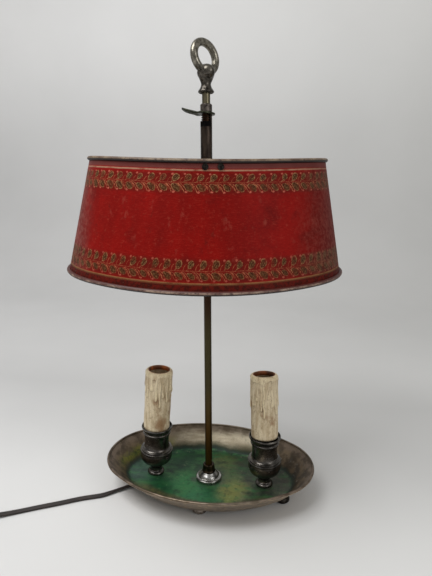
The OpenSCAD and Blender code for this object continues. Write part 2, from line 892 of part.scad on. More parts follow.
module coil_tie() {
    color(phenolic)
        translate([coil_at.x, coil_at.y, 0])
            rotate(tie_turn)
                translate([coil_r, 0, 0])
                    rotate([90, 0, 0])
                        linear_extrude(tie_w, center = true)
                            difference() {
                                translate([-coil_w / 2 - 1.3, 0]) square([coil_w + 2.4, coil_h + 2 * coil_z]);
                                translate([-coil_w / 2 - 0.7, coil_z]) square([coil_w + 1.2, coil_h]);
                            }
}

module at_switch() {
    translate([switch_at.x, switch_at.y]) rotate(switch_turn) children();
}

module switch_body() {
    straight = switch_l / 2 - switch_w / 2;
    color(phenolic)
        at_switch()
            difference() {
                union() {
                    translate([-straight, -switch_w / 2, 0]) cube([2 * straight, switch_w, switch_h]);
                    for (end = [-1, 1])
                        translate([end * straight, 0, 0]) cylinder(r = switch_w / 2, h = switch_h);
                    translate([-switch_reach, -switch_end_w / 2, 0])
                        cube([2 * switch_reach, switch_end_w, switch_end_h]);
                }
                translate([-rocker_l / 2 - 0.7, -rocker_w / 2 - free_gap, pin_z - pocket_deep])
                    cube([rocker_l + 1.4, rocker_w + 2 * free_gap, switch_h]);
                translate([0, 0, pin_z])
                    rotate([90, 0, 0])
                        cylinder(r = rocker_pin_r + run_gap, h = rocker_w + 5, center = true);
            }
}

module switch_rocker() {
    color(phenolic)
        at_switch()
            translate([0, 0, pin_z])
                rotate([0, rocker_tilt, 0])
                    rotate([90, 0, 0]) {
                        linear_extrude(rocker_w, center = true)
                            polygon([
                                [-rocker_l / 2, -rocker_low], [rocker_l / 2, -rocker_low],
                                [rocker_l / 2, rocker_high], [0, rocker_dip], [-rocker_l / 2, rocker_high]
                            ]);
                        cylinder(r = rocker_pin_r, h = rocker_w + 4, center = true);
                    }
}

module at_plug() {
    translate([plug_at.x, plug_at.y]) rotate(plug_turn) children();
}

module plug_body() {
    corner_r = 4;
    color(phenolic)
        at_plug()
            difference() {
                union() {
                    translate([0, -plug_w / 2 + corner_r, 0]) cube([plug_l, plug_w - 2 * corner_r, plug_h]);
                    translate([corner_r, -plug_w / 2, 0]) cube([plug_l - corner_r, plug_w, plug_h]);
                    for (side = [-1, 1])
                        translate([corner_r, side * (plug_w / 2 - corner_r), 0]) cylinder(r = corner_r, h = plug_h);
                }
                for (side = [-1, 1])
                    translate([plug_l - blade_in, side * blade_gap / 2 - blade_t / 2, plug_h / 2 - blade_w / 2])
                        cube([blade_in + 1, blade_t, blade_w]);
            }
}

module plug_pins() {
    hole_r = 1.6;
    color(brass)
        at_plug()
            for (side = [-1, 1])
                difference() {
                    translate([plug_l - blade_in, side * blade_gap / 2 - blade_t / 2, plug_h / 2 - blade_w / 2])
                        cube([blade_in + blade_l, blade_t, blade_w]);
                    translate([plug_l + blade_l - 4, side * blade_gap / 2, plug_h / 2])
                        rotate([90, 0, 0]) cylinder(r = hole_r, h = 2 * blade_t, center = true);
                }
}

tray();
tray_roll();
foot(0);  // foot_1
foot(1);  // foot_2
foot(2);  // foot_3
foot(3);  // foot_4
foot(4);  // foot_5
stem_rod();
stem_flange();
stem_collar();
stem_washer();
stem_nut();
finial();
pedestal(-1);  // left_pedestal
cup(-1);  // left_cup
cup_nut(-1);  // left_cup_nut
nipple(-1);  // left_nipple
light_washer(-1);  // left_washer
light_nut(-1);  // left_nut
lampholder(-1);  // left_lampholder
screw_shell(-1);  // left_screw_shell
contact(-1);  // left_contact
cover(-1);  // left_cover
pedestal(1);  // right_pedestal
cup(1);  // right_cup
cup_nut(1);  // right_cup_nut
nipple(1);  // right_nipple
light_washer(1);  // right_washer
light_nut(1);  // right_nut
lampholder(1);  // right_lampholder
screw_shell(1);  // right_screw_shell
contact(1);  // right_contact
cover(1);  // right_cover
shade();
shade_bead(top_bead_r, 1);  // shade_top_bead
shade_bead(bottom_bead_r, 0);  // shade_bottom_bead
shade_strap();
shade_screw(0, -1);  // shade_screw_1
shade_screw(0, 1);  // shade_screw_2
shade_screw(1, -1);  // shade_screw_3
shade_screw(1, 1);  // shade_screw_4
slide_sleeve();
sleeve_cap();
sleeve_liner();
grip_washer();
lever();
lever_spring();
strain_relief();
cord_clip();
lead(-1, left_lead_route);  // left_lead
lead(1, right_lead_route);  // right_lead
cord_tube();
cord_link();
cord_coil();
cord_tail();
coil_tie();
switch_body();
switch_rocker();
plug_body();
plug_pins();
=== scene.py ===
# %% [markdown]
# # A bouillotte lamp
# A bouillotte lamp is a table lamp for card games: a shallow tray, two candle lights, and a painted
# metal shade that slides on a stem. This notebook loads the measured model, keeps the small turned
# parts, and builds the parts that need a finer shape. Then every surface gets a finish made of nodes.

# %% Load the measured model
import math

import bmesh
import bpy
from mathutils import Matrix, Vector, noise


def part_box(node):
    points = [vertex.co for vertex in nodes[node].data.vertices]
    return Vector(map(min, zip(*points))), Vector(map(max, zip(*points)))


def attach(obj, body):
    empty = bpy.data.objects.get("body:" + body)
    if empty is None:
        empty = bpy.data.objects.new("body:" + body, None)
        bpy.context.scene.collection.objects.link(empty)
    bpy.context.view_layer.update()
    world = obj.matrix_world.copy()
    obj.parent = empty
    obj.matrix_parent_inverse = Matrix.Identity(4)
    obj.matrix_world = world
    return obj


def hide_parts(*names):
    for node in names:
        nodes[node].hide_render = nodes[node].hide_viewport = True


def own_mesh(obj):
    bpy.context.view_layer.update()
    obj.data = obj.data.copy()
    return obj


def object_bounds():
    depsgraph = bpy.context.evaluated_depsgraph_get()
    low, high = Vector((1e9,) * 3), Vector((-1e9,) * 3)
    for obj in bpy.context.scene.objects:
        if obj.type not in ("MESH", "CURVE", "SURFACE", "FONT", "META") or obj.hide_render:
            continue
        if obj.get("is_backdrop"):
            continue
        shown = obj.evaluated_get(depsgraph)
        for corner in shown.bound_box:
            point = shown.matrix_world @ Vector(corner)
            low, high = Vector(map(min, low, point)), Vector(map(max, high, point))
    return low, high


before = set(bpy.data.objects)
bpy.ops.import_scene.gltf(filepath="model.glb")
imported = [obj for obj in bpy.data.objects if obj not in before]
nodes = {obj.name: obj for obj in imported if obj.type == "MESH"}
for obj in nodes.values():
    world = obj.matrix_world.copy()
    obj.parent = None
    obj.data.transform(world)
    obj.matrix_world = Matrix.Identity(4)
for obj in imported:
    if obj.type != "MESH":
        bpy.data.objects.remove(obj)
cad_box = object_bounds()
MM = 0.001

# %% [markdown]
# ## The camera
# A camera is a place, a heading and a lens. The lens here is a short one, so near things look large.
# The rotation is built from three directions: to the right of the picture, up in it, and backwards.

# %% Camera
CAMERA_REACH = 424          # millimetres from the stem, level
CAMERA_HEIGHT = 294
CAMERA_SIDE = 12            # degrees round the lamp from its front
CAMERA_HEADING = 10.93
CAMERA_DOWN = 12
CAMERA_ROLL = -0.19
LENS = 29.125


def add_object(name, data):
    made = bpy.data.objects.new(name, data)
    bpy.context.scene.collection.objects.link(made)
    return made


def add_camera():
    side, heading, down, roll = (
        math.radians(d) for d in (CAMERA_SIDE, CAMERA_HEADING, CAMERA_DOWN, CAMERA_ROLL)
    )
    level_part, sink = math.cos(down), math.sin(down)
    ahead = Vector((-math.sin(heading) * level_part, math.cos(heading) * level_part, -sink))
    level = Vector((math.cos(heading), math.sin(heading), 0))
    upward = level.cross(ahead)
    right = math.cos(roll) * level + math.sin(roll) * upward
    up = right.cross(ahead)
    camera = add_object("camera", bpy.data.cameras.new("camera"))
    camera.data.lens = LENS
    camera.data.clip_start = 0.01
    turn = Matrix((right, up, -ahead)).transposed().to_4x4()
    place = Vector((CAMERA_REACH * math.sin(side), -CAMERA_REACH * math.cos(side), CAMERA_HEIGHT)) * MM
    camera.matrix_world = Matrix.Translation(place) @ turn
    bpy.context.scene.camera = camera
    return camera


print("camera at", tuple(round(c, 3) for c in add_camera().location))

# %% [markdown]
# ## Putting pieces in the scene
# Every piece made here is a mesh whose vertices are already in place, so its object stays at the
# origin. A small helper names it, smooths it, and hangs it on the body that it moves with. The other
# helpers are steps that many shapes need: welding, placing, and picking vertices out of a result.

# %% Piece helpers
ALL_SMOOTH = 180            # degrees; an angle at which no edge stays sharp


def smooth_mesh(name, bm):
    mesh = bpy.data.meshes.new(name)
    bm.to_mesh(mesh)
    bm.free()
    mesh.shade_smooth()
    return mesh


def add_piece(name, bm, body, replaced, smooth):
    """Turns a bmesh into a piece that rides on a body and stands for some measured parts."""
    bmesh.ops.recalc_face_normals(bm, faces=bm.faces)
    mesh = smooth_mesh(name, bm)
    piece = add_object(name, mesh)
    if smooth < ALL_SMOOTH:
        mesh.set_sharp_from_angle(angle=math.radians(smooth))
    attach(piece, body)
    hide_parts(*replaced)
    print(f"{name}: {len(mesh.polygons)} faces")
    return piece


def weld(bm, near=2e-6):
    bmesh.ops.remove_doubles(bm, verts=bm.verts, dist=near)
    return bm


def placed(bm, matrix):
    bmesh.ops.transform(bm, matrix=matrix, verts=bm.verts)
    return bm


def only_verts(geometry):
    return [v for v in geometry if isinstance(v, bmesh.types.BMVert)]


def everything(bm):
    return bm.verts[:] + bm.edges[:] + bm.faces[:]


# %% [markdown]
# ## The cord
# The cord is a flat twin lead. It leaves the strain relief under the tray, runs over the table past
# an in-line switch, and ends in a wound coil and a plug. One smooth centreline carries all of it:
# listed points, then the coil from a loop. Each turn of the coil slides to its next radius and layer
# in a short part of the turn, so the turns lie beside and on each other.

# %% Route of the cord
CORD_WIDTH = 5.2
CORD_THICK = 2.8
ROUTE = [
    (-66, -17, 2.8), (-70.4, -18, 2.6), (-75.5, -20.8, 1.8), (-84.5, -28, 1.4), (-96, -38, 1.4),
    (-103, -42, 1.4), (-117, -48.5, 1.4), (-133, -58, 1.4), (-148.5, -66.5, 1.4),
    (-164, -75.5, 1.4), (-178.5, -84.4, 2.4), (-190, -91.2, 4), (-205, -100, 5), (-217, -107, 5),
    (-230, -114.6, 5), (-243.5, -122.6, 4), (-252, -127.6, 3), (-262, -133.4, 2.2),
    (-270, -138.1, 2),
]
TAIL = [(-301.8, -76.7, 7.8), (-293, -71.6, 6.6), (-284, -66.4, 6), (-281, -64.6, 6)]
COIL_AT = Vector((-293, -111.5))
COIL_START = -59.6          # degrees, where the cord meets the coil
COIL_STEPS = 36             # points in each turn
COIL_SHIFT = 0.2            # share of a turn in which the cord slides to the next layer
LAYERS = [
    (34.4, 2.0), (29.0, 2.0), (23.6, 2.0), (23.6, 5.2), (29.0, 5.2), (34.4, 5.2), (29.0, 8.4),
    (34.4, 8.4),
]
COIL_TURNS = 8.5
LEAD_TIP = math.radians(38)
TIP_FULL, TIP_KEPT, TIP_GONE = 14, 24, 40      # millimetres from the strain relief


def eased(t):
    t = min(1, max(0, t))
    return t * t * (3 - 2 * t)


def coil_points():
    points = []
    for i in range(int(COIL_TURNS * COIL_STEPS) + 1):
        turn = i / COIL_STEPS
        k = min(int(turn), len(LAYERS) - 1)
        here, following = LAYERS[k], LAYERS[min(k + 1, len(LAYERS) - 1)]
        slide = eased((turn - k - (1 - COIL_SHIFT)) / COIL_SHIFT) if k + 1 < len(LAYERS) else 0
        radius = here[0] + (following[0] - here[0]) * slide
        height = here[1] + (following[1] - here[1]) * slide
        angle = math.radians(COIL_START) - 2 * math.pi * turn
        x, y = radius * math.cos(angle), radius * math.sin(angle)
        points.append((COIL_AT.x + x, COIL_AT.y + y, height))
    return points


def smooth_route(points, rounds):
    """Halves every step of a line along a curve that passes through its points."""
    for _ in range(rounds):
        finer = [points[0]]
        for i in range(len(points) - 1):
            before = points[i - 1] if i else points[i]
            after = points[i + 2] if i + 2 < len(points) else points[i + 1]
            middle = (points[i] + points[i + 1]) * 0.5625 - (before + after) * 0.0625
            finer += [middle, points[i + 1]]
        points = finer
    return points


def tipped(point):
    """How far the lead is tipped on its edge, in radians, near the lamp."""
    along = (Vector(point).xy - Vector(ROUTE[0]).xy).length
    kept = 1 - eased((along - TIP_KEPT) / (TIP_GONE - TIP_KEPT))
    return LEAD_TIP * eased(along / TIP_FULL) * kept


hand_points = [Vector(p) for p in ROUTE]
wound = [Vector(p) for p in coil_points()]
tail_points = [Vector(p) for p in TAIL]
centreline = smooth_route(hand_points + wound[:1], 2) + wound[1:-1]
centreline += smooth_route(wound[-1:] + tail_points, 1)
for point in centreline:
    point.z += (CORD_WIDTH - CORD_THICK) / 2 * math.sin(tipped(point))
cord_length = sum((a - b).length for a, b in zip(centreline, centreline[1:]))
print(f"cord: {len(centreline)} points, {cord_length:.0f} mm long")

# %% [markdown]
# The section of a twin lead is two round cores side by side with a groove between them. It is given
# to a curve as its bevel, and the Z-up twist keeps the lead lying flat. Near the lamp it is tipped on
# its edge, as a stiff flat lead does in a bend. The curve becomes a mesh, with its centreline as path.

# %% Cord mesh


def twin_section():
    """Seven points round each core, which leave the groove between the two open."""
    core = CORD_THICK / 2
    apart = (CORD_WIDTH - CORD_THICK) / 2
    points = []
    for side, start in ((1, -60), (-1, 120)):
        for step in range(0, 241, 40):
            angle = math.radians(start + step)
            points.append((side * apart + core * math.cos(angle), core * math.sin(angle)))
    return points


def add_curve(name, points, closed=False, tilts=None):
    data = bpy.data.curves.new(name, "CURVE")
    data.dimensions = "3D"
    line = data.splines.new("POLY")
    line.points.add(len(points) - 1)
    for k, (spot, place) in enumerate(zip(line.points, points)):
        spot.co = (*[c * MM for c in place], 1)
        spot.tilt = tilts[k] if tilts else 0
    line.use_cyclic_u = closed
    return add_object(name, data)


def as_mesh(line, *helpers):
    """The mesh of a curve, which is removed with its helpers."""
    line.data.use_fill_caps = True
    solid = line.evaluated_get(bpy.context.evaluated_depsgraph_get())
    bm = bmesh.new()
    bm.from_mesh(bpy.data.meshes.new_from_object(solid))
    weld(bm, 1e-6)
    for helper in (line, *helpers):
        bpy.data.objects.remove(helper)
    return bm


def make_cord():
    section = add_curve("section", [(x, y, 0) for x, y in twin_section()], closed=True)
    line = add_curve("cord_line", centreline, tilts=[tipped(p) for p in centreline])
    line.data.twist_mode = "Z_UP"
    line.data.bevel_mode = "OBJECT"
    line.data.bevel_object = section
    return as_mesh(line, section)


cord = add_piece(
    "flat_cord", make_cord(), "base",
    ["cord_tube", "cord_link", "cord_coil", "cord_tail"], ALL_SMOOTH
)

# %% [markdown]
# ## Turning and sweeping
# Most of the lamp is turned or swept. A lathe spins an outline of radius and height pairs round an
# axis. The tray and shade are ovals drawn from four arcs on 3-4-5 triangles, so their outline is spun
# in four steps, round the centre of each arc in turn. Corners are rounded before the spin.

# %% Outlines, lathe and oval sweep
MEET = math.atan2(4, 3)


def rounded(points, radius, steps=4, closed=False):
    """Replaces each corner of an outline with a short curve."""
    out = []
    count = len(points)
    for i in range(count):
        here = Vector(points[i])
        if not closed and i in (0, count - 1):
            out.append(here)
            continue
        before, after = Vector(points[i - 1]), Vector(points[(i + 1) % count])
        reach = min(radius, 0.45 * (here - before).length, 0.45 * (here - after).length)
        start = here + (before - here).normalized() * reach
        end = here + (after - here).normalized() * reach
        for k in range(steps + 1):
            t = k / steps
            out.append(start * (1 - t) ** 2 + here * 2 * t * (1 - t) + end * t ** 2)
    return out


def outline_edges(bm, places, closed):
    corners = [bm.verts.new(p) for p in places]
    pairs = list(zip(corners, corners[1:])) + ([(corners[-1], corners[0])] if closed else [])
    return corners + [bm.edges.new(pair) for pair in pairs]


def lathe(outline, closed=False, steps=72):
    """Spins (radius, height) pairs in millimetres round the Z axis."""
    bm = bmesh.new()
    geometry = outline_edges(bm, [Vector((r, 0, z)) * MM for r, z in outline], closed)
    bmesh.ops.spin(
        bm, geom=geometry, cent=(0, 0, 0), axis=(0, 0, 1), angle=2 * math.pi, steps=steps,
        use_merge=True
    )
    return weld(bm)


def oval_sweep(outline, a, b, closed=False, end_steps=36, side_steps=26):
    """Carries (distance out, height) pairs round an oval of half length a and half width b."""
    end_at, side_at = 1.5 * (a - b), 2 * (a - b)
    away = Vector((math.cos(MEET), -math.sin(MEET), 0))
    bm = bmesh.new()
    start = Vector((end_at, 0, 0))
    places = [(start + away * (a - end_at + out) + Vector((0, 0, z))) * MM for out, z in outline]
    last = outline_edges(bm, places, closed)
    arcs = [
        ((end_at, 0), 2 * MEET, end_steps), ((0, -side_at), math.pi - 2 * MEET, side_steps),
        ((-end_at, 0), 2 * MEET, end_steps), ((0, side_at), math.pi - 2 * MEET, side_steps),
    ]
    for (x, y), angle, steps in arcs:
        swept = bmesh.ops.spin(
            bm, geom=last, cent=Vector((x, y, 0)) * MM, axis=(0, 0, 1), angle=angle, steps=steps
        )
        last = swept["geom_last"]
    return weld(bm)


def circle_outline(r, out, z, steps=14):
    return [
        (out + r * math.cos(2 * math.pi * k / steps), z + r * math.sin(2 * math.pi * k / steps))
        for k in range(steps)
    ]


# %% [markdown]
# ## The tray
# The tray is one pressed sheet: a flat oval floor, a rounded bend, and a wall that leans out to a
# rolled rim. Both faces of the sheet are drawn in one outline, and the floor is filled in after the
# sweep. Its sizes come from the measured parts' boxes.

# %% Tray and rim
tray_low, tray_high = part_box("tray")
TRAY_A, TRAY_B = tray_high.x / MM, tray_high.y / MM
TRAY_FLARE = 21
FLOOR_Z = tray_low.z / MM
RIM_Z = tray_high.z / MM
SHEET = 1.0
FLOOR_IN = 9                # how far inside the wall's foot the drawn outline begins
FOOT_IN = 0.44              # how far the foot of its inner face lies from that of the outer one
BEND_OUTER, BEND_INNER, BEND_STEPS = 7, 6.5, 7      # radii where the floor turns up
ROLL_IN = 0.69              # how far the roll's middle lies inside the tray's edge
PUSH_LOW, PUSH_RIM = 0.062, 0.018      # as shares of the distance from the middle


def push_near_side(bm):
    """The long side towards the card player has been leaned on, and stands out a little."""
    for v in bm.verts:
        if v.co.y < 0:
            up = (v.co.z / MM - FLOOR_Z) / (RIM_Z - FLOOR_Z)
            push = PUSH_LOW + (PUSH_RIM - PUSH_LOW) * up
            v.co.y *= 1 + push * eased(-v.co.y / (TRAY_B * MM))
    return bm


def make_tray():
    wall = RIM_Z - FLOOR_Z
    lean = SHEET * math.hypot(TRAY_FLARE, wall) / wall
    top = FLOOR_Z + SHEET
    outer = [(-FLOOR_IN, FLOOR_Z), (0, FLOOR_Z), (TRAY_FLARE, RIM_Z)]
    inner = [(TRAY_FLARE - lean, RIM_Z), (-FOOT_IN, top), (-FLOOR_IN, top)]
    outline = rounded(outer, BEND_OUTER, BEND_STEPS) + rounded(inner, BEND_INNER, BEND_STEPS)
    bm = oval_sweep(outline, TRAY_A - TRAY_FLARE, TRAY_B - TRAY_FLARE)
    bmesh.ops.holes_fill(bm, edges=[e for e in bm.edges if e.is_boundary], sides=0)
    return push_near_side(bm)


tray = add_piece("tray_sheet", make_tray(), "base", ["tray"], 50)
roll_low, roll_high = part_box("tray_roll")
ROLL_R = (roll_high.z - roll_low.z) / MM / 2
rim = add_piece(
    "tray_rim",
    push_near_side(oval_sweep(circle_outline(ROLL_R, -ROLL_IN, RIM_Z), TRAY_A, TRAY_B, closed=True)),
    "base", ["tray_roll"], ALL_SMOOTH,
)

# %% [markdown]
# ## The shade
# The shade is a thin cone on the same kind of oval, with a bead rolled into each edge. A real one is
# never true: here its ends ride up a little, its long sides dip, and its top has slipped to the right.
# One bending function moves the sheet and both beads, so they stay together, and slides them along the
# slope of the wall. The sheet gets its own UV map, round the oval and up the wall, for the painting.

# %% Shade sheet and beads
SHADE_TURN = math.radians(12)
SHADE_A, SHADE_B = 121.6, 93.5
SHADE_LOW, SHADE_RISE, SHADE_FLARE, SHADE_SHEET = 222.2, 95.2, 19.6, 0.8
BEAD_OUT = 0.49             # how far a bead's middle stands outside the sheet
SADDLE_LOW, SADDLE_TOP = (2.2, 2.4), (1.4, 3.3)      # rise of the ends, dip of the long sides
SLIP_LOW, SLIP_TOP = -1.7, 1.4
TIP_LOW, TIP_TOP = 0.018, 0.012
SHADE_STEPS = {"end_steps": 48, "side_steps": 36}
BEAD_R_TOP, BEAD_R_LOW = 1.6, 1.8


def bend_shade(bm):
    """Gives the true oval the saddle, slip and lean of a well-used shade, and turns it."""
    slope = SHADE_FLARE / SHADE_RISE
    turn = Matrix.Rotation(SHADE_TURN, 3, "Z")
    for v in bm.verts:
        place = v.co / MM
        up = (place.z - SHADE_LOW) / SHADE_RISE
        x, y = place.x / (SHADE_A - SHADE_FLARE * up), place.y / (SHADE_B - SHADE_FLARE * up)
        ends, sides = (low + (top - low) * up for low, top in zip(SADDLE_LOW, SADDLE_TOP))
        lift = ends * x * x - sides * y * y
        place.xy *= 1 - lift * slope / place.xy.length
        place = turn @ place
        place.z += lift - place.x * (TIP_LOW + (TIP_TOP - TIP_LOW) * up)
        place.x += SLIP_LOW + (SLIP_TOP - SLIP_LOW) * up
        v.co = place * MM
    return bm


def round_the_oval(place):
    """The distance from the right end round a four-centre oval, at the size of its bottom edge."""
    end_at, side_at = 1.5 * (SHADE_A - SHADE_B), 2 * (SHADE_A - SHADE_B)
    end_r, side_r = SHADE_A - end_at, SHADE_B + side_at
    x, y = abs(place.x), abs(place.y)
    quarter = end_r * MEET + side_r * (math.pi / 2 - MEET)
    if y * 3 <= (x - end_at) * 4:
        along = end_r * math.atan2(y, x - end_at)
    else:
        along = quarter - side_r * math.atan2(x, y + side_at)
    if place.x < 0:
        along = 2 * quarter - along
    return along if place.y >= 0 else 4 * quarter - along, 4 * quarter


def map_shade(bm):
    layer = bm.loops.layers.uv.new("wall")
    for face in bm.faces:
        spots = [round_the_oval(loop.vert.co / MM) for loop in face.loops]
        middle = round_the_oval(face.calc_center_median() / MM)[0]
        for loop, (along, whole) in zip(face.loops, spots):
            if along - middle > whole / 2:
                along -= whole
            if middle - along > whole / 2:
                along += whole
            loop[layer].uv = (along / whole, (loop.vert.co.z / MM - SHADE_LOW) / SHADE_RISE)


def make_shade():
    lean = SHADE_SHEET * math.hypot(SHADE_FLARE, SHADE_RISE) / SHADE_RISE
    rows = 10
    outer = [(-SHADE_FLARE * k / rows, SHADE_LOW + SHADE_RISE * k / rows) for k in range(rows + 1)]
    inner = [(out - lean, z) for out, z in reversed(outer)]
    bm = oval_sweep(outer + inner, SHADE_A, SHADE_B, closed=True, **SHADE_STEPS)
    map_shade(bm)
    return bend_shade(bm)


def make_bead(r, edge):
    """A rolled edge: the bottom one where edge is 0 and the top one where it is 1."""
    out = -SHADE_FLARE * edge + BEAD_OUT
    outline = circle_outline(r, out, SHADE_LOW + SHADE_RISE * edge)
    return bend_shade(oval_sweep(outline, SHADE_A, SHADE_B, closed=True, **SHADE_STEPS))


shade = add_piece("shade_sheet", make_shade(), "carriage", ["shade"], 50)
top_bead = add_piece(
    "shade_bead_top", make_bead(BEAD_R_TOP, 1), "carriage", ["shade_top_bead"], ALL_SMOOTH
)
low_bead = add_piece(
    "shade_bead_low", make_bead(BEAD_R_LOW, 0), "carriage", ["shade_bottom_bead"], ALL_SMOOTH
)

# %% [markdown]
# ## The finial
# The finial is a bell and a neck turned in one, with a ring set in its top and a knob through the
# ring's foot. The ring is a small circle spun round a large one, then turned and leaned. The knob is a
# ball drawn out through the ring, so that it shows on both sides, and the bell is thinned there.

# %% Finial
FINIAL_Z = 374
RING_TURN, RING_LEAN = math.radians(55), math.radians(80.5)
RING_AT = Vector((-0.9, 0.7, 402.9))
BELL = [
    (5.9, 0), (6.2, 0), (6.85, 0.5), (6.85, 1.6), (5.6, 3.2), (4.6, 5), (4.2, 7), (4.7, 8.5),
    (5.8, 10.4), (6.8, 12.4), (7.7, 14.4), (8.1, 15.8), (7.9, 17.2), (6.6, 18.8), (4, 20),
    (0, 20.4),
]
KNOB_R, KNOB_Z, KNOB_LONG = 6.6, 390.7, 1.32
BELL_THIN, BELL_WIDE = 0.68, 1.08      # the bell's top, through the ring and along it
BELL_EASE_FROM, BELL_EASE = 5, 8       # heights above the bell's foot over which that comes in
RING_R, RING_BAR = 12.1, 3.3


def raised(outline, z):
    return [(r, h + z) for r, h in outline]


def moved(bm, x=0, y=0, z=0):
    bmesh.ops.translate(bm, verts=bm.verts, vec=Vector((x, y, z)) * MM)
    return bm


def merge(bm, other):
    """Adds a second bmesh to the first."""
    carrier = bpy.data.meshes.new("carrier")
    other.to_mesh(carrier)
    bm.from_mesh(carrier)
    bpy.data.meshes.remove(carrier)
    other.free()
    return bm


def make_ring(ring_r, bar_r):
    """A ring in the XY plane: a circle stood up at the radius of the ring and spun."""
    bm = bmesh.new()
    stand = Matrix.Translation((ring_r * MM, 0, 0)) @ Matrix.Rotation(math.pi / 2, 4, "X")
    bar = bmesh.ops.create_circle(bm, segments=24, radius=bar_r * MM, matrix=stand)
    edges = {e for v in bar["verts"] for e in v.link_edges}
    bmesh.ops.spin(
        bm, geom=bar["verts"] + list(edges), cent=(0, 0, 0), axis=(0, 0, 1),
        angle=2 * math.pi, steps=64, use_merge=True,
    )
    return weld(bm)


def make_finial():
    hollow = [(0, 3.2), (3.6, 3.0), (5.5, 1.6), (5.9, 0)]
    body = lathe(raised(hollow + rounded(BELL, 0.5, 3)[1:], FINIAL_Z), steps=64)
    across = Vector((-math.sin(RING_TURN), math.cos(RING_TURN), 0))
    for v in body.verts:
        up = eased((v.co.z / MM - FINIAL_Z - BELL_EASE_FROM) / BELL_EASE)
        through = across * v.co.xy.dot(across.xy)
        along = v.co - through
        along.xy *= 1 + (BELL_WIDE - 1) * up
        v.co = along + through * (1 + (BELL_THIN - 1) * up)
    ring = make_ring(RING_R, RING_BAR)
    turn = Matrix.Rotation(RING_TURN, 4, "Z") @ Matrix.Rotation(RING_LEAN, 4, "X")
    placed(ring, Matrix.Translation(RING_AT * MM) @ turn)
    knob = bmesh.new()
    bmesh.ops.create_uvsphere(knob, u_segments=36, v_segments=20, radius=KNOB_R * MM)
    bmesh.ops.scale(knob, verts=knob.verts, vec=(1, KNOB_LONG, 1))
    bmesh.ops.rotate(knob, verts=knob.verts, cent=(0, 0, 0), matrix=Matrix.Rotation(RING_TURN, 3, "Z"))
    return merge(merge(body, ring), moved(knob, 0, 0, KNOB_Z))


finial = add_piece("finial_turned", make_finial(), "base", ["finial"], 40)

# %% [markdown]
# ## Flange and collar
# A polished flange in two steps holds the stem to the tray, with a dark cone standing on it.

# %% Flange and collar
ROD_R = 3.5
FLANGE_Z, COLLAR_Z = 7, 15
FLANGE = [
    (3.1, 0), (12.4, 0), (12.9, 0.6), (12.9, 2.2), (12.3, 2.9), (10.9, 3.1), (10.3, 3.4),
    (9.9, 4.4), (9.2, 5.4), (8.4, 6.2), (7.6, 7), (6.8, 8), (3.1, 8),
]
COLLAR = [
    (ROD_R, 0), (6.7, 0), (6.9, 0.6), (6.6, 1.4), (6.15, 2), (5.9, 4.4), (5.6, 6.6), (5.7, 7.2),
    (5.3, 8), (ROD_R, 8),
]


def turned(outline, z, radius, steps=72):
    """A closed outline with rounded corners, spun and standing at a height."""
    return lathe(rounded(raised(outline, z), radius, 3, True), True, steps)


flange = add_piece(
    "stem_flange_turned", turned(FLANGE, FLANGE_Z, 0.5), "base", ["stem_flange"], 50
)
collar = add_piece(
    "stem_collar_turned", turned(COLLAR, COLLAR_Z, 0.35), "base", ["stem_collar"], 50
)

# %% [markdown]
# ## Candle cups
# Each light stands on a small pedestal. The cup over it is a turned urn with two rings above its belly,
# a waisted neck and a flared lip. Both are spun closed, round the hollow nipple. The left light has
# been knocked and leans a little towards the stem.

# %% Pedestals and cups
LIGHTS = {"left": -56, "right": 56}
NIPPLE_R = 4.05
PEDESTAL = [
    (NIPPLE_R, 0), (8.1, 0), (8.5, 0.6), (8.5, 2), (7.4, 3.2), (6.2, 3.8), (5.7, 5.5), (5.7, 7),
    (6.6, 8.6), (7.9, 10.2), (9.6, 12), (NIPPLE_R, 12),
]
CUP = [
    (NIPPLE_R, 0), (9.6, 0), (11.8, 1.2), (13.8, 2.8), (15.1, 4.8), (15.8, 7), (16, 9),
    (15.9, 11.6), (15.5, 13), (15.5, 13.4), (16.4, 13.8), (16.4, 15), (15.3, 15.4), (15.2, 15.7),
    (15.6, 16), (15.6, 16.9), (14.5, 17.3), (13.3, 18), (12.7, 19.4), (12.4, 21.4), (12.2, 23.4),
    (12.2, 26.5), (12.6, 30), (13.1, 33), (13.9, 33.4), (13.9, 34.6), (13.4, 35), (13.5, 36),
    (14.7, 38), (15.5, 39.4), (15.5, 40.4), (15.1, 41), (14.6, 41), (14.2, 38.2), (11.4, 38.2),
    (11.4, 12), (11, 7), (9, 3), (NIPPLE_R, 3),
]
PEDESTAL_Z, CUP_Z = 7, 19
LIGHT_LEAN = {"left": math.radians(3), "right": 0}


def leaned(bm, side):
    """Leans a light's turned piece towards the stem about its foot, and puts it in place."""
    lean = Matrix.Rotation(LIGHT_LEAN[side], 3, "Y")
    bmesh.ops.rotate(bm, verts=bm.verts, cent=Vector((0, 0, PEDESTAL_Z)) * MM, matrix=lean)
    return moved(bm, LIGHTS[side])


pedestals, cups = [], []
for side in LIGHTS:
    foot = leaned(turned(PEDESTAL, PEDESTAL_Z, 0.6, 56), side)
    urn = leaned(turned(CUP, CUP_Z, 0.3), side)
    pedestals.append(
        add_piece(f"{side}_pedestal_turned", foot, "base", [f"{side}_pedestal"], 60)
    )
    cups.append(add_piece(f"{side}_cup_turned", urn, "base", [f"{side}_cup"], 60))

# %% [markdown]
# ## Candle covers
# A candle cover is a card tube dipped in wax, with runs of wax down its sides. The tube is spun with
# many rows, then its outer skin is pushed out where a run lies. A run is a ridge with steep sides and a
# round foot: each has an angle, a width, a length and a thickness. How thick the wax stands is kept as
# an attribute of the mesh, so that the finish can darken the hollows beside the runs.

# %% Candle covers
COVER_R, COVER_BORE, COVER_MOUTH, COVER_L = 13.0, 11.0, 9.8, 62.0
COLLAR_L, COLLAR_WAX = 5.5, 0.75      # the thick wax round the mouth
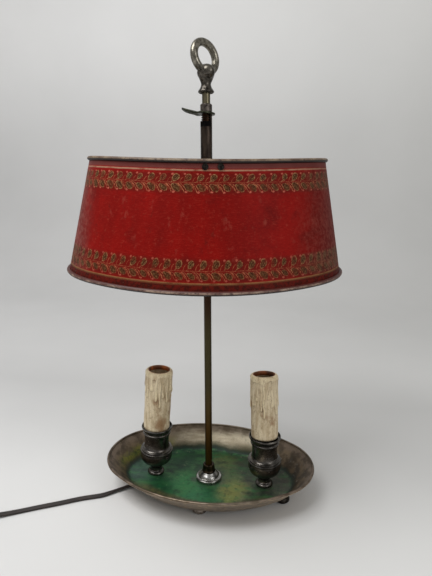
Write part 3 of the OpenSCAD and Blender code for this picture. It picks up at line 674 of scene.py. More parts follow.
# Both outlines are measured from the top.
COVER_LIP = [(12.9, -2.6), (12.6, -1.4), (11.9, -0.5), (10.9, 0), (10.3, 0)]
COVER_THROAT = [(COVER_MOUTH, -0.8), (COVER_MOUTH, -3.5), (COVER_BORE, -5)]
WAX_BULB = 0.45             # how much thicker a run is where it stopped
COVERS = {
    # side: lean in degrees, towards, foot (slide, rise), runs of wax (angle, width, length, thickness)
    "left": (4.3, 0, (2.1, 58.29), [
        (-14, 7, 20, 1.6), (-34, 5, 31, 1.1), (-52, 6, 26, 0.9), (-66, 5, 36, 1.2),
        (-82, 6, 29, 1.3), (-104, 9, 19, 1.0), (-124, 6, 27, 1.1), (-143, 9, 23, 0.8),
        (-168, 8, 18, 0.9), (8, 7, 24, 1.0), (38, 8, 33, 1.1), (70, 7, 24, 1.2), (98, 8, 38, 1.0),
        (130, 7, 26, 1.2), (160, 9, 30, 0.9),
    ]),
    "right": (5.4, 112, (0.9, 58.54), [
        (-8, 8, 26, 0.8), (-30, 6, 38, 1.1), (-50, 7, 30, 0.9), (-66, 5, 22, 0.8),
        (-86, 5, 40, 1.6), (-98, 5, 33, 1.0), (-116, 6, 24, 0.9), (-136, 7, 30, 0.8),
        (-161, 8, 33, 1.1), (14, 8, 33, 0.9), (44, 7, 25, 1.1), (74, 8, 37, 1.0), (104, 7, 28, 1.2),
        (134, 8, 22, 1.0), (164, 7, 36, 0.9),
    ]),
}


def run_of_wax(angle, down, runs):
    """How thick the wax stands at an angle in degrees and a distance down from the mouth."""
    depth = 0
    for at, width, length, thick in runs:
        off = abs((angle - at - 1.5 * math.sin(down * 0.35 + at) + 180) % 360 - 180) / width
        foot = (length - down) / 2.6
        if off < 1 and foot > 0:
            ridge = (1 - off * off) ** 0.7
            bulb = 1 + WAX_BULB * math.exp(-((foot - 1.2) ** 2))
            swell = math.sqrt(min(1, foot)) * bulb * (0.45 + 0.55 * down / length)
            depth = max(depth, thick * ridge * swell)
    edge = COLLAR_L + 1.2 * math.sin(math.radians(angle * 3 + 40))
    edge += 0.6 * math.sin(math.radians(angle * 7))
    return max(depth, COLLAR_WAX * eased((edge - down) / 1.2))


def make_cover(side):
    lean, lean_to, (slide, rise), runs = COVERS[side]
    top = COVER_L
    outer = [(COVER_R - 0.3, 0)] + [(COVER_R, z / 1.5) for z in range(2, int(top * 1.5) - 5)]
    outer += raised(COVER_LIP, top)
    inner = raised(COVER_THROAT, top) + [(COVER_BORE, 0)]
    bm = lathe(outer + inner, True, 180)
    wax = bm.verts.layers.float.new("wax")
    for v in bm.verts:
        x, y, z = v.co / MM
        r = math.hypot(x, y)
        if r < COVER_MOUTH + 0.4 or (z < top - 4 and r < COVER_R - 0.4):
            continue
        skin = min(1, (r - COVER_MOUTH - 0.3) / 2.2)
        grain = noise.noise(Vector((x * 0.35, y * 0.35, z * 0.08 + LIGHTS[side]))) * 0.2
        grain += noise.noise(Vector((x * 0.9, y * 0.9, z * 0.25 + LIGHTS[side]))) * 0.12
        depth = run_of_wax(math.degrees(math.atan2(y, x)), top - z, runs)
        v[wax] = depth
        if z > 3:
            push = 1 + (depth * 0.8 + grain) * skin / r
            v.co.x *= push
            v.co.y *= push
    turn = Matrix.Rotation(math.radians(lean_to), 4, "Z")
    tilt = Matrix.Rotation(math.radians(lean), 4, "Y")
    tip = Matrix.Translation(Vector((slide, 0, rise)) * MM) @ tilt
    return moved(placed(bm, turn @ tip @ turn.inverted()), LIGHTS[side])


covers = [
    add_piece(f"{side}_cover_waxed", make_cover(side), "base", [f"{side}_cover"], 80)
    for side in COVERS
]

# %% [markdown]
# ## Feet
# Small turned buttons with soft edges carry the tray.

# %% Feet
FOOT = [(0, 0), (4.6, 0), (6.2, 0.6), (7, 2), (7, 4), (6.2, 5.4), (4.6, 6), (0, 6)]
feet = []
for k in range(1, 6):
    low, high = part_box(f"foot_{k}")
    middle = (low + high) / 2 / MM
    button = moved(lathe(rounded(FOOT, 0.8, 3), steps=40), middle.x, middle.y)
    feet.append(add_piece(f"foot_{k}_turned", button, "base", [f"foot_{k}"], 70))

# %% [markdown]
# ## The lever
# The grip's lever is a round plate with a tongue, cut from sheet. A ring of vertices round the outline
# is bridged to a ring round the stem's hole, given its thickness, bevelled, and bent at the tongue.

# %% Lever
LEVER_R, LEVER_T, LEVER_X, LEVER_HOLE = 9.7, 1.6, -2.0, 3.75
TONGUE_TIP, TONGUE_R, TONGUE_BEND = -21.4, 5.5, -4.4
LEVER_PIVOT = Vector((4.3, 0, 357.2))
LEVER_TILT, TONGUE_TILT = math.radians(3), math.radians(10.6)
TONGUE_DISH = 0.042         # droop of its edges over the square of the distance from its middle
BEND_L, DISH_L = 2, 7       # lengths over which its bend and its dish come in
LEVER_EDGE = 0.4


def lever_reach(angle):
    """The distance from the stem's axis to the lever's edge in a direction."""
    along, across = math.cos(angle), math.sin(angle)
    best = 0
    for middle, r in ((LEVER_X, LEVER_R), (TONGUE_TIP + TONGUE_R, TONGUE_R)):
        inside = r * r - (middle * across) ** 2
        if inside > 0:
            best = max(best, middle * along + math.sqrt(inside))
    if along < 0 and abs(across) > 1e-6:
        flank = TONGUE_R / abs(across)
        if TONGUE_TIP + TONGUE_R < flank * along < LEVER_X - 6:
            best = max(best, flank)
    return best


def make_lever():
    count = 72
    bm = bmesh.new()
    angles = [2 * math.pi * k / count for k in range(count)]
    edge = [bm.verts.new(Vector((math.cos(a), math.sin(a), 0)) * lever_reach(a) * MM) for a in angles]
    hole = bmesh.ops.create_circle(bm, segments=count, radius=LEVER_HOLE * MM)["verts"]
    loop = [bm.edges.new((edge[k], edge[(k + 1) % count])) for k in range(count)]
    rings = loop + list({e for v in hole for e in v.link_edges})
    bmesh.ops.bridge_loops(bm, edges=rings)
    for x in (TONGUE_BEND, TONGUE_BEND - 1, TONGUE_BEND - 2, TONGUE_TIP + TONGUE_R):
        bmesh.ops.bisect_plane(
            bm, geom=everything(bm), plane_co=(x * MM, 0, 0), plane_no=(1, 0, 0)
        )
    weld(bm)
    bmesh.ops.recalc_face_normals(bm, faces=bm.faces)
    bmesh.ops.solidify(bm, geom=bm.faces[:], thickness=LEVER_T * MM)
    bmesh.ops.recalc_face_normals(bm, faces=bm.faces)
    middle = (max(v.co.z for v in bm.verts) + min(v.co.z for v in bm.verts)) / 2
    for v in bm.verts:
        v.co.z -= middle
    corners = [e for e in bm.edges if e.is_manifold and e.calc_face_angle() > math.radians(50)]
    bmesh.ops.bevel(
        bm, geom=corners, offset=LEVER_EDGE * MM, segments=3, profile=0.5, affect="EDGES", material=-1
    )
    for v in bm.verts:
        past = TONGUE_BEND - v.co.x / MM
        if past > 0:
            share = min(1, past / BEND_L)
            dish = TONGUE_DISH * (v.co.y / MM) ** 2 * eased(past / DISH_L)
            v.co.z += (math.tan(TONGUE_TILT) * past * share - dish) * MM
    place = Matrix.Rotation(SHADE_TURN, 4, "Z") @ Matrix.Translation(LEVER_PIVOT * MM)
    back = Matrix.Translation(Vector((-LEVER_PIVOT.x, 0, 0)) * MM)
    return placed(bm, place @ Matrix.Rotation(LEVER_TILT, 4, "Y") @ back)


lever = add_piece("lever_plate", make_lever(), "lever", ["lever"], 45)

# %% [markdown]
# A few turns of wire hold the lever up. They flatten when it is pressed.

# %% Spring
SPRING_R, WIRE_R, SPRING_TURNS, SPRING_FOOT = 4.0, 0.35, 2.5, 351
SPRING_STEPS = 24           # points in each turn


def make_spring():
    low, high = (corner.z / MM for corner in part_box("lever_spring"))
    steps = int(SPRING_STEPS * SPRING_TURNS)
    rise = (high - low - 2 * WIRE_R) / steps
    places = []
    for k in range(steps + 1):
        angle = SHADE_TURN + math.radians(360 / SPRING_STEPS * k)
        height = low + WIRE_R + k * rise
        places.append((SPRING_R * math.cos(angle), SPRING_R * math.sin(angle), height))
    line = add_curve("spring_line", places)
    line.data.bevel_depth = WIRE_R * MM
    return as_mesh(line)


spring = add_piece("lever_coil", make_spring(), "carriage", ["lever_spring"], ALL_SMOOTH)
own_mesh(spring)

# %% [markdown]
# ## Fittings of the cord
# The strain relief is a soft tapered sleeve with ribs, where the lead goes under the tray. The switch
# and plug are moulded: outlines drawn up into slabs, softened where faces meet, with grooves for the
# seam and the fingers. The switch has a well for its rocker. A strap holds the coil together.

# %% Strain relief
RELIEF_FROM, RELIEF_TO = Vector((-44, -12)), Vector((-66, -17))
RELIEF_LOW = 1.1
RELIEF_WIDE, RELIEF_HIGH = (9, 6.6), (5.7, 4.5)      # at the thick end and at the thin one
RELIEF_STEPS = 44
TAPER_FROM = 0.3            # share of its length
RIB, RIBS_FROM = 0.35, 0.68


def laid(bm, at, turn):
    """Turns a shape about Z and moves it to a point of the floor."""
    return placed(bm, Matrix.Translation(Vector((*at, 0)) * MM) @ Matrix.Rotation(turn, 4, "Z"))


def make_relief():
    """A rounded bar drawn as rings along X, each with its own width and height."""
    away = RELIEF_TO - RELIEF_FROM
    bm = bmesh.new()
    last = None
    for k in range(RELIEF_STEPS + 1):
        t = k / RELIEF_STEPS
        taper = eased((t - TAPER_FROM) / (1 - TAPER_FROM))
        width, high = (a + (b - a) * taper for a, b in (RELIEF_WIDE, RELIEF_HIGH))
        rib = RIB if t > RIBS_FROM and k % 4 in (0, 1) else 0
        x, half_w = t * away.length, width / 2 - rib
        z, half_h = (RELIEF_LOW + high) / 2, (high - RELIEF_LOW) / 2 - rib * 0.6
        circle = bmesh.ops.create_circle(bm, segments=28, radius=1, cap_ends=False)["verts"]
        for v in circle:
            y, h = v.co.x, v.co.y
            fat = (abs(y) ** 4 + abs(h) ** 4) ** 0.25
            v.co = Vector((x, y / fat * half_w, z + h / fat * half_h)) * MM
        edges = [e for e in bm.edges if e.verts[0] in circle and e.verts[1] in circle]
        if last:
            bmesh.ops.bridge_loops(bm, edges=last + edges)
        last = edges
    bmesh.ops.holes_fill(bm, edges=[e for e in bm.edges if e.is_boundary], sides=0)
    return laid(bm, RELIEF_FROM, math.atan2(away.y, away.x))


relief = add_piece("strain_relief_ribbed", make_relief(), "base", ["strain_relief"], 60)

# %% Switch, rocker, plug and tie
SWITCH_AT, SWITCH_TURN = (-216.8, -106.9), math.radians(210.4)
PLUG_AT, PLUG_TURN = (-281, -64.6), math.radians(30.4)
SWITCH_W, SWITCH_H, STRAIGHT = 22, 14, 18
SEAM_LOW, SEAM_TOP = 6.8, 7.3
BOSS_X, BOSS_Y, BOSS_H = 31, 4.5, 7      # where the lead enters
WELL_X, WELL_Y, WELL_Z = 7.7, 4.6, 6.5
ROCKER_X, ROCKER_Y, ROCKER_LOW, ROCKER_TOP = 7, 4.3, -3, 3.9
ROCKER_DIP = 2.7            # height of its middle
ROCKER_AXIS, ROCKER_REST = 11.5, math.radians(8)
PLUG = [(0, -6.5), (3.5, -10), (26, -10), (26, 10), (3.5, 10), (0, 6.5)]
PLUG_H, PLUG_GRIPS, GRIP_WIDE = 14, (9, 13, 17), 1.6
TIE = [(-9.1, 0.3), (8.9, 0.3), (8.9, 10.3), (-9.1, 10.3)]
TIE_WIDE, TIE_THICK, TIE_AT, TIE_TURN = 6, 0.6, 29, math.radians(65)


def oblong(x, y):
    return [(-x, -y), (x, -y), (x, y), (-x, y)]


def slab(corners, low, high):
    """A flat outline in millimetres, drawn up from low to high."""
    bm = bmesh.new()
    face = bm.faces.new([bm.verts.new(Vector((x, y, low)) * MM) for x, y in corners])
    drawn = bmesh.ops.extrude_face_region(bm, geom=[face])["geom"]
    bmesh.ops.translate(bm, verts=only_verts(drawn), vec=(0, 0, (high - low) * MM))
    bmesh.ops.recalc_face_normals(bm, faces=bm.faces)
    return bm


def cut(bm, x, y, z, normal):
    bmesh.ops.bisect_plane(
        bm, geom=everything(bm), plane_co=Vector((x, y, z)) * MM, plane_no=normal
    )


def soften(bm, radius, sharp=35):
    """Bevels the edges at which faces meet at more than an angle in degrees."""
    edges = [e for e in bm.edges if e.is_manifold and e.calc_face_angle() > math.radians(sharp)]
    bmesh.ops.bevel(
        bm, geom=edges, offset=radius * MM, segments=3, profile=0.5, affect="EDGES", material=-1
    )
    return bm


def groove(bm, faces, depth):
    bmesh.ops.inset_region(
        bm, faces=faces, thickness=0.1 * MM, depth=-depth * MM, use_even_offset=True
    )


def make_switch():
    r = SWITCH_W / 2
    angles = [math.radians(-90 + 9 * k) for k in range(21)]
    corners = [
        (end * (STRAIGHT + r * math.cos(a)), end * r * math.sin(a))
        for end in (1, -1) for a in angles
    ]
    bm = slab(corners, 0, SWITCH_H)
    for side in (-1, 1):
        cut(bm, side * WELL_X, 0, 0, (1, 0, 0))
        cut(bm, 0, side * WELL_Y, 0, (0, 1, 0))
    middle = [(f, f.calc_center_median() / MM) for f in bm.faces if f.normal.z > 0.9]
    well = [f for f, c in middle if abs(c.x) < WELL_X and abs(c.y) < WELL_Y]
    sunk = bmesh.ops.extrude_face_region(bm, geom=well)["geom"]
    bmesh.ops.delete(bm, geom=well, context="FACES")
    bmesh.ops.translate(bm, verts=only_verts(sunk), vec=(0, 0, (WELL_Z - SWITCH_H) * MM))
    soften(bm, 0.9, 60)
    cut(bm, 0, 0, SEAM_LOW, (0, 0, 1))
    cut(bm, 0, 0, SEAM_TOP, (0, 0, 1))
    middle = [(f, f.calc_center_median() / MM) for f in bm.faces]
    seam = [
        f for f, c in middle if abs(c.z - (SEAM_LOW + SEAM_TOP) / 2) < 0.2
        and (abs(c.y) > WELL_Y + 0.5 or abs(c.x) > WELL_X + 0.5)
    ]
    groove(bm, seam, 0.4)
    ends = soften(slab(oblong(BOSS_X, BOSS_Y), 0, BOSS_H), 1.4)
    return laid(merge(bm, ends), SWITCH_AT, SWITCH_TURN)


def make_rocker():
    bm = slab(oblong(ROCKER_X, ROCKER_Y), ROCKER_LOW, ROCKER_TOP)
    cut(bm, 0, 0, 0, (1, 0, 0))
    for v in bm.verts:
        if v.co.z > 0 and abs(v.co.x) < MM:
            v.co.z = ROCKER_DIP * MM
    soften(bm, 0.5)
    tip = Matrix.Translation((0, 0, ROCKER_AXIS * MM)) @ Matrix.Rotation(ROCKER_REST, 4, "Y")
    return laid(placed(bm, tip), SWITCH_AT, SWITCH_TURN)


def make_plug():
    bm = soften(slab(PLUG, 0, PLUG_H), 1.5)
    for x in PLUG_GRIPS:
        cut(bm, x, 0, 0, (1, 0, 0))
        cut(bm, x + GRIP_WIDE, 0, 0, (1, 0, 0))
    sides = [(f, f.calc_center_median().x / MM) for f in bm.faces if abs(f.normal.y) > 0.9]
    groove(bm, [f for f, at in sides if any(x < at < x + GRIP_WIDE for x in PLUG_GRIPS)], 0.7)
    return laid(bm, PLUG_AT, PLUG_TURN)


def make_tie():
    """A strap round the coil's section: a closed strip that is given a thickness."""
    bm = bmesh.new()
    outline = rounded(TIE, 2, 5, True)
    line = outline_edges(bm, [Vector((x, -TIE_WIDE / 2, z)) * MM for x, z in outline], True)
    strip = bmesh.ops.extrude_edge_only(bm, edges=line[len(outline):])["geom"]
    bmesh.ops.translate(bm, verts=only_verts(strip), vec=(0, TIE_WIDE * MM, 0))
    bmesh.ops.recalc_face_normals(bm, faces=bm.faces)
    bmesh.ops.solidify(bm, geom=bm.faces[:], thickness=TIE_THICK * MM)
    return laid(moved(bm, TIE_AT), COIL_AT, TIE_TURN)


switch = add_piece("switch_halves", make_switch(), "base", ["switch_body"], 35)
rocker = add_piece("rocker_cap", make_rocker(), "rocker", ["switch_rocker"], 35)
plug = add_piece("plug_moulded", make_plug(), "base", ["plug_body"], 35)
tie = add_piece("coil_strap", make_tie(), "base", ["coil_tie"], 60)

# %% [markdown]
# ## The finish of it
# Shader maths is easier to read as arithmetic. A Signal wraps one output of a node, and each operator
# on it adds a Math node. A Finish is a material in the making: it sets the constants of its surface
# shader, and one method adds any other node from its type, its settings and its inputs.

# %% Shader arithmetic


def linear(r, g, b):
    """A screen colour from 0 to 255 as the linear colour that a shader takes."""
    parts = [c / 255 for c in (r, g, b)]
    return tuple(c / 12.92 if c <= 0.04045 else ((c + 0.055) / 1.055) ** 2.4 for c in parts) + (1.0,)


class Signal:
    """An output of a shader node that takes part in ordinary arithmetic."""

    def __init__(self, finish, socket):
        self.finish = finish
        self.socket = socket

    def maths(self, operation, *others):
        return self.finish.maths(operation, self, *others)

    def __add__(self, other):
        return self.maths("ADD", other)

    def __sub__(self, other):
        return self.maths("SUBTRACT", other)

    def __rsub__(self, other):
        return self.finish.maths("SUBTRACT", other, self)

    def __mul__(self, other):
        return self.maths("MULTIPLY", other)

    def __truediv__(self, other):
        return self.maths("DIVIDE", other)

    def __abs__(self):
        return self.maths("ABSOLUTE")

    __radd__ = __add__
    __rmul__ = __mul__

    def rise(self, low, high):
        """A soft step from 0 at low to 1 at high. It falls where low is the greater."""
        settings = {"interpolation_type": "SMOOTHSTEP"}
        return self.finish.node("ShaderNodeMapRange", settings, (self, low, high, 0, 1))

    def band(self, middle, half, soft):
        """1 within half of the middle, with soft edges."""
        return abs(self - middle).rise(half + soft, half - soft)


class Finish:
    """A material that ends in one surface shader."""

    def __init__(self, name, constants):
        self.material = bpy.data.materials.new(name)
        self.material.use_nodes = True
        self.tree = self.material.node_tree
        self.shader = self.tree.nodes["Principled BSDF"]
        for socket, value in constants.items():
            self.shader.inputs[socket].default_value = value
        spot = self.node("ShaderNodeTexCoord", {}, (), "Object")
        self.place = self.node("ShaderNodeVectorMath", {"operation": "SCALE"}, {0: spot, 3: 1000})
        self.x, self.y, self.z = self.parts(self.place)

    def node(self, kind, settings=None, inputs=(), output=0):
        node = self.tree.nodes.new(kind)
        for key, value in (settings or {}).items():
            setattr(node, key, value)
        pairs = inputs.items() if isinstance(inputs, dict) else enumerate(inputs)
        for key, value in pairs:
            if isinstance(value, Signal):
                self.tree.links.new(value.socket, node.inputs[key])
            else:
                node.inputs[key].default_value = value
        return Signal(self, node.outputs[output])

    def parts(self, vector):
        node = self.node("ShaderNodeSeparateXYZ", {}, (vector,)).socket.node
        return [Signal(self, socket) for socket in node.outputs]

    def maths(self, operation, *values):
        return self.node("ShaderNodeMath", {"operation": operation}, values)

    def noise(self, size, detail=3, stretch=(1, 1, 1), seed=0, rough=0.55):
        """Soft patches about size millimetres wide, stretched by an amount along each axis."""
        inputs = {"Vector": self.place, "Location": (7.3 * seed, 3.1 * seed, 5.7 * seed)}
        inputs["Scale"] = tuple(1 / (size * s) for s in stretch)
        spot = self.node("ShaderNodeMapping", {}, inputs)
        inputs = {"Vector": spot, "Scale": 1, "Detail": detail, "Roughness": rough}
        return self.node("ShaderNodeTexNoise", {}, inputs)

    def mix(self, factor, first, second):
        """Blends two colours. Each is a signal or a screen colour from 0 to 255."""
        first, second = (c if isinstance(c, Signal) else linear(*c) for c in (first, second))
        inputs = {0: factor, 6: first, 7: second}
        return self.node("ShaderNodeMix", {"data_type": "RGBA"}, inputs, 2)

    def over(self, colour, *layers):
        """Lays other colours over one, each where its mask is 1."""
        for mask, tint in layers:
            colour = self.mix(mask, colour, tint)
        return colour

    def dim(self, colour, amount):
        """A colour times a number."""
        return self.node("ShaderNodeVectorMath", {"operation": "SCALE"}, {0: colour, 3: amount})

    def surface(self, colour, roughness=None, metallic=None, height=None, depth=1.0):
        """Ends the material. The height is bumped by depth millimetres."""
        for socket, value in (("Base Color", colour), ("Roughness", roughness), ("Metallic", metallic)):
            if value is not None:
                self.tree.links.new(value.socket, self.shader.inputs[socket])
        if height is not None:
            bump = self.node("ShaderNodeBump", {}, {"Distance": depth * MM, "Height": height})
            self.tree.links.new(bump.socket, self.shader.inputs["Normal"])
        return self.material


def dress(material, *pieces):
    for piece in pieces:
        piece.data.materials.clear()
        piece.data.materials.append(material)
    print(material.name, "on", len(pieces), "pieces:", len(material.node_tree.nodes), "nodes")


# %% [markdown]
# ## Pewter with verdigris
# The tray is silvered metal worn thin. Inside, the floor has gone green, most of all away from the
# walls, with yellow-green spots, and its near edge is olive. Both ends have browned, part of the back
# wall carries a painted highlight, bright under the rim and darker lower down, and the outside is a
# mottled tan. Which side of the sheet a point is on comes from its normal's height.

# %% Tray finish


STAINS = [
    # x, y, size, amount and colour of each stain on the floor, in millimetres
    (30, -18, 20, 0.85, (126, 128, 62)), (12, 26, 18, 0.7, (104, 116, 62)),
    (-18, -16, 27, 0.8, (40, 116, 62)), (2, 2, 20, 0.85, (64, 66, 60)),
    (68, -4, 32, 0.85, (74, 70, 60)), (-72, 4, 22, 0.7, (60, 82, 76)),
    (-34, 26, 22, 0.7, (30, 72, 48)), (42, 26, 24, 0.8, (58, 64, 50)),
    (-46, -24, 22, 0.6, (26, 78, 48)), (-4, -36, 22, 0.6, (40, 108, 70)),
    (22, 4, 12, 0.6, (96, 112, 66)), (50, -30, 18, 0.7, (80, 84, 70)),
]


def tray_finish():
    f = Finish("pewter_verdigris", {"Roughness": 0.4})
    up = f.parts(f.node("ShaderNodeTexCoord", {}, (), "Normal"))[2]
    inside = up.rise(-0.05, 0.15)
    broad = f.noise(34, 4, seed=1)
    small = f.noise(9, 5, seed=2)
    drift = f.noise(7, 5, (2.2, 1, 1), 24, 0.65)
    mottle = f.noise(5, 6, seed=21, rough=0.7)
    fine = f.noise(1.6, 3, seed=3)
    run = f.noise(6, 4, (3, 3, 0.5), 4)
    height = f.z + (small - 0.5) * 4 + (broad - 0.5) * 6
    floor_part = height.rise(12.5, 8.2)
    green = f.mix(drift.rise(0.36, 0.64), (20, 56, 36), (52, 104, 58))
    ragged = (broad - 0.5) + (drift - 0.5) * 1.6 + (mottle - 0.5) * 0.8
    for x, y, size, amount, tint in STAINS:
        dx, dy = (f.x - x) / size, (f.y - y) / size
        spread = (dx * dx + dy * dy) * 0.5 + ragged
        green = f.mix(spread.rise(0.75, -0.05) * amount, green, tint)
    ex, ey = f.x / 86, f.y / 50
    edge = ex * ex + ey * ey + (broad - 0.5) * 0.2 + (mottle - 0.5) * 0.1
    olive = f.mix(mottle.rise(0.4, 0.6), (92, 86, 54), (66, 66, 44))
    green = f.over(
        green,
        (drift.rise(0.46, 0.32) * 0.45, (22, 44, 34)),
        (mottle.rise(0.52, 0.68) * 0.5, (16, 34, 28)),
        (mottle.rise(0.42, 0.3) * 0.45, (120, 140, 100)),
        (height.rise(7.4, 9) * 0.85, (14, 34, 28)),
        (edge.rise(0.5, 0.66) * f.y.rise(-16, -30) * 0.85, olive),
    )
    # A painted highlight on the back wall: reflected light, bright under the rim and darker lower down.
    shine = f.mix((f.z + (run - 0.5) * 6).rise(13, 23), (84, 76, 60), (178, 170, 150))
    ends = abs(f.x - 2 + (broad - 0.5) * 24).rise(40, 72)
    ends_brown = f.mix(small.rise(0.35, 0.65), (58, 48, 38), (106, 90, 70))
    scuffs = mottle.rise(0.56, 0.7) * f.x.rise(30, 70)
    rim_brown = (f.z + (run - 0.5) * 7).rise(20.5, 26)
    damp = (f.z + (broad - 0.5) * 8 + (mottle - 0.5) * 10).band(15, 3, 3.5)
    damp = damp * f.x.rise(-44, -58) * f.y.rise(-24, 10)
    wall = f.over(
        f.mix(run.rise(0.3, 0.7), (150, 142, 124), (122, 112, 94)),
        # The painted highlight lies only on the part of the wall to the right of the stem.
        ((f.x + (broad - 0.5) * 20).rise(8, 34) * f.x.rise(66, 50) * 0.8, shine),
        (mottle.rise(0.56, 0.7) * 0.4, (84, 72, 58)),
        (height.rise(17, 10.5) * 0.8, (46, 52, 38)),
        (ends * 0.9, ends_brown),
        (scuffs * 0.5, (160, 156, 150)),
        (rim_brown * 0.8, f.mix(small.rise(0.4, 0.6), (80, 68, 56), (116, 102, 90))),
        (damp * 0.85, f.mix(mottle.rise(0.4, 0.6), (116, 118, 44), (70, 84, 40))),
        (height.rise(13, 9.5) * 0.6, (34, 42, 32)),
    )
    inner = f.mix(floor_part, wall, green)
    outer = f.over(
        f.mix(run.rise(0.35, 0.68), (162, 145, 124), (128, 114, 98)),
        (mottle.rise(0.52, 0.66) * 0.7, (204, 180, 142)),
        (mottle.rise(0.44, 0.32) * 0.6, (66, 54, 44)),
        (small.rise(0.56, 0.7) * 0.5, (96, 84, 72)),
        (f.z.rise(25.5, 27.5) * f.z.rise(28.2, 27) * 0.7, (40, 34, 28)),
    )
    colour = f.mix(inside, outer, inner)
    colour = f.dim(colour, 0.8 + fine * 0.4)
    metal = 0.95 - inside * floor_part * 0.55 - ends * 0.25
    rough = 0.27 + small * 0.16 + mottle * 0.12 + ends * 0.1
    return f.surface(colour, rough, metal, small * 0.5 + fine * 0.3 + mottle * 0.6, 0.14)


def foot_finish():
    f = Finish("pewter_feet", {"Metallic": 0.95})
    worn = f.noise(3.5, 4, seed=3)
    colour = f.mix(worn.rise(0.35, 0.65), (80, 72, 64), (148, 138, 128))
    # Feet towards the right are painted darker: painted shade under the tray.
    colour = f.dim(colour, 1 - f.x.rise(20, 50) * 0.85)
    return f.surface(colour, 0.34 + worn * 0.16, None, worn, 0.08)


dress(tray_finish(), tray, rim)
dress(foot_finish(), *feet)

# %% [markdown]
# ## Dark and bright metals
# Gun-metal, aged brass, chrome and the dark grip share one recipe: two colours in patches or streaks,
# and fine marks. Highlights break up because the roughness follows them. The lever is coloured dark, a
# painted dark reflection on its underside. The finial is painted lighter at its top, a painted
# highlight, and the rod changes along its length, with a painted shadow under the lamp shade, so these
# two have recipes of their own.

# %% Turned metal finishes


def metal_finish(name, dark, light, rough, spread, size, stretch=(1, 1, 1), depth=0.05):
    f = Finish(name, {"Metallic": 0.95})
    patches = f.noise(size, 4, stretch, 2)
    marks = f.noise(size * 0.22, 3, stretch, 5)
    colour = f.mix(patches.rise(0.3, 0.7), dark, light)
    colour = f.dim(colour, 0.8 + marks * 0.4)
    roughness = rough + (patches - 0.5) * spread + (marks - 0.5) * spread * 0.7
    return f.surface(colour, roughness, None, marks + patches * 0.5, depth)


collar_metal = metal_finish("collar_bronze", (34, 29, 24), (72, 60, 46), 0.34, 0.2, 4)
gunmetal = metal_finish("gun_metal", (60, 58, 56), (106, 102, 97), 0.24, 0.14, 7, depth=0.03)
chrome = metal_finish("worn_chrome", (116, 114, 111), (176, 175, 172), 0.26, 0.1, 6, depth=0.01)
brass = metal_finish("aged_brass", (50, 42, 28), (86, 74, 48), 0.34, 0.16, 5, (1, 1, 7))
sleeve_dark_and_window_shade = metal_finish("dark_sleeve", (40, 33, 29), (78, 67, 59), 0.38, 0.2, 4, (1, 1, 4))
# The lever is coloured dark as a painted dark reflection on its underside.
lever_painted_dark = metal_finish("dark_lever", (30, 32, 25), (74, 76, 62), 0.36, 0.2, 3)
cap_metal = metal_finish("worn_cap", (54, 48, 45), (112, 104, 98), 0.42, 0.2, 2.4)


def finial_finish():
    """Dark at the bell, and lighter on the knob and the ring: a painted highlight."""
    f = Finish("dark_bronze", {"Metallic": 0.95})
    patches = f.noise(4, 5, seed=2, rough=0.65)
    marks = f.noise(1.1, 3, seed=5)
    colour = f.mix(patches.rise(0.3, 0.7), (44, 41, 37), (98, 93, 86))
    # Lighter above the bell: a painted highlight on the knob and the ring.
    painted_highlight_top = f.mix(patches.rise(0.3, 0.7), (84, 80, 71), (156, 151, 139))
    colour = f.mix((f.z + (marks - 0.5) * 4).rise(388, 398), colour, painted_highlight_top)
    colour = f.dim(colour, 0.82 + marks * 0.36)
    rough = 0.27 + (0.5 - patches) * 0.16 + (marks - 0.5) * 0.14
    return f.surface(colour, rough, None, marks + patches * 0.5, 0.02)


def rod_finish():
    """Golden brown at the foot, olive, a painted shadow under the shade, and dull olive above the grip.
    """
    f = Finish("drawn_rod", {"Metallic": 0.9})
    draw = f.noise(2, 4, (1, 1, 16), 2)
    patches = f.noise(14, 4, (1, 1, 2.5), 5)
    low = f.mix((f.z + patches * 50).rise(70, 140), (84, 60, 24), (64, 58, 37))
    # Darker under the lamp shade: a painted shadow of the shade on the rod.
    low = f.mix((f.z + patches * 50).rise(175, 225), low, (50, 32, 20))
    high = f.mix(draw.rise(0.4, 0.6), (82, 76, 60), (126, 118, 96))
    colour = f.dim(f.mix(f.z.rise(361, 364), low, high), 0.8 + draw * 0.4)
    return f.surface(colour, 0.3 + draw * 0.16, None, draw, 0.03)


bright_brass = metal_finish("plain_brass", (150, 122, 66), (196, 166, 100), 0.3, 0.14, 4)
steel = metal_finish("dark_steel", (24, 21, 20), (56, 51, 47), 0.4, 0.2, 2)

dress(finial_finish(), finial)
dress(lever_painted_dark, lever)
dress(collar_metal, collar)
dress(gunmetal, *pedestals, *cups)
dress(chrome, flange)
dress(rod_finish(), nodes["stem_rod"])
dress(brass, nodes["shade_strap"])
# The spring takes the sleeve's dark finish: painted shade in the sleeve's window.
dress(sleeve_dark_and_window_shade, spring, nodes["slide_sleeve"])
dress(cap_metal, nodes["sleeve_cap"])
hidden_brass = ["stem_washer", "stem_nut", "cord_clip", "plug_pins"]
for part in ("cup_nut", "nipple", "washer", "nut", "screw_shell", "contact"):
    hidden_brass += [f"{side}_{part}" for side in LIGHTS]
dress(bright_brass, *[nodes[n] for n in hidden_brass])
dress(steel, *[nodes[f"shade_screw_{k}"] for k in range(1, 5)])
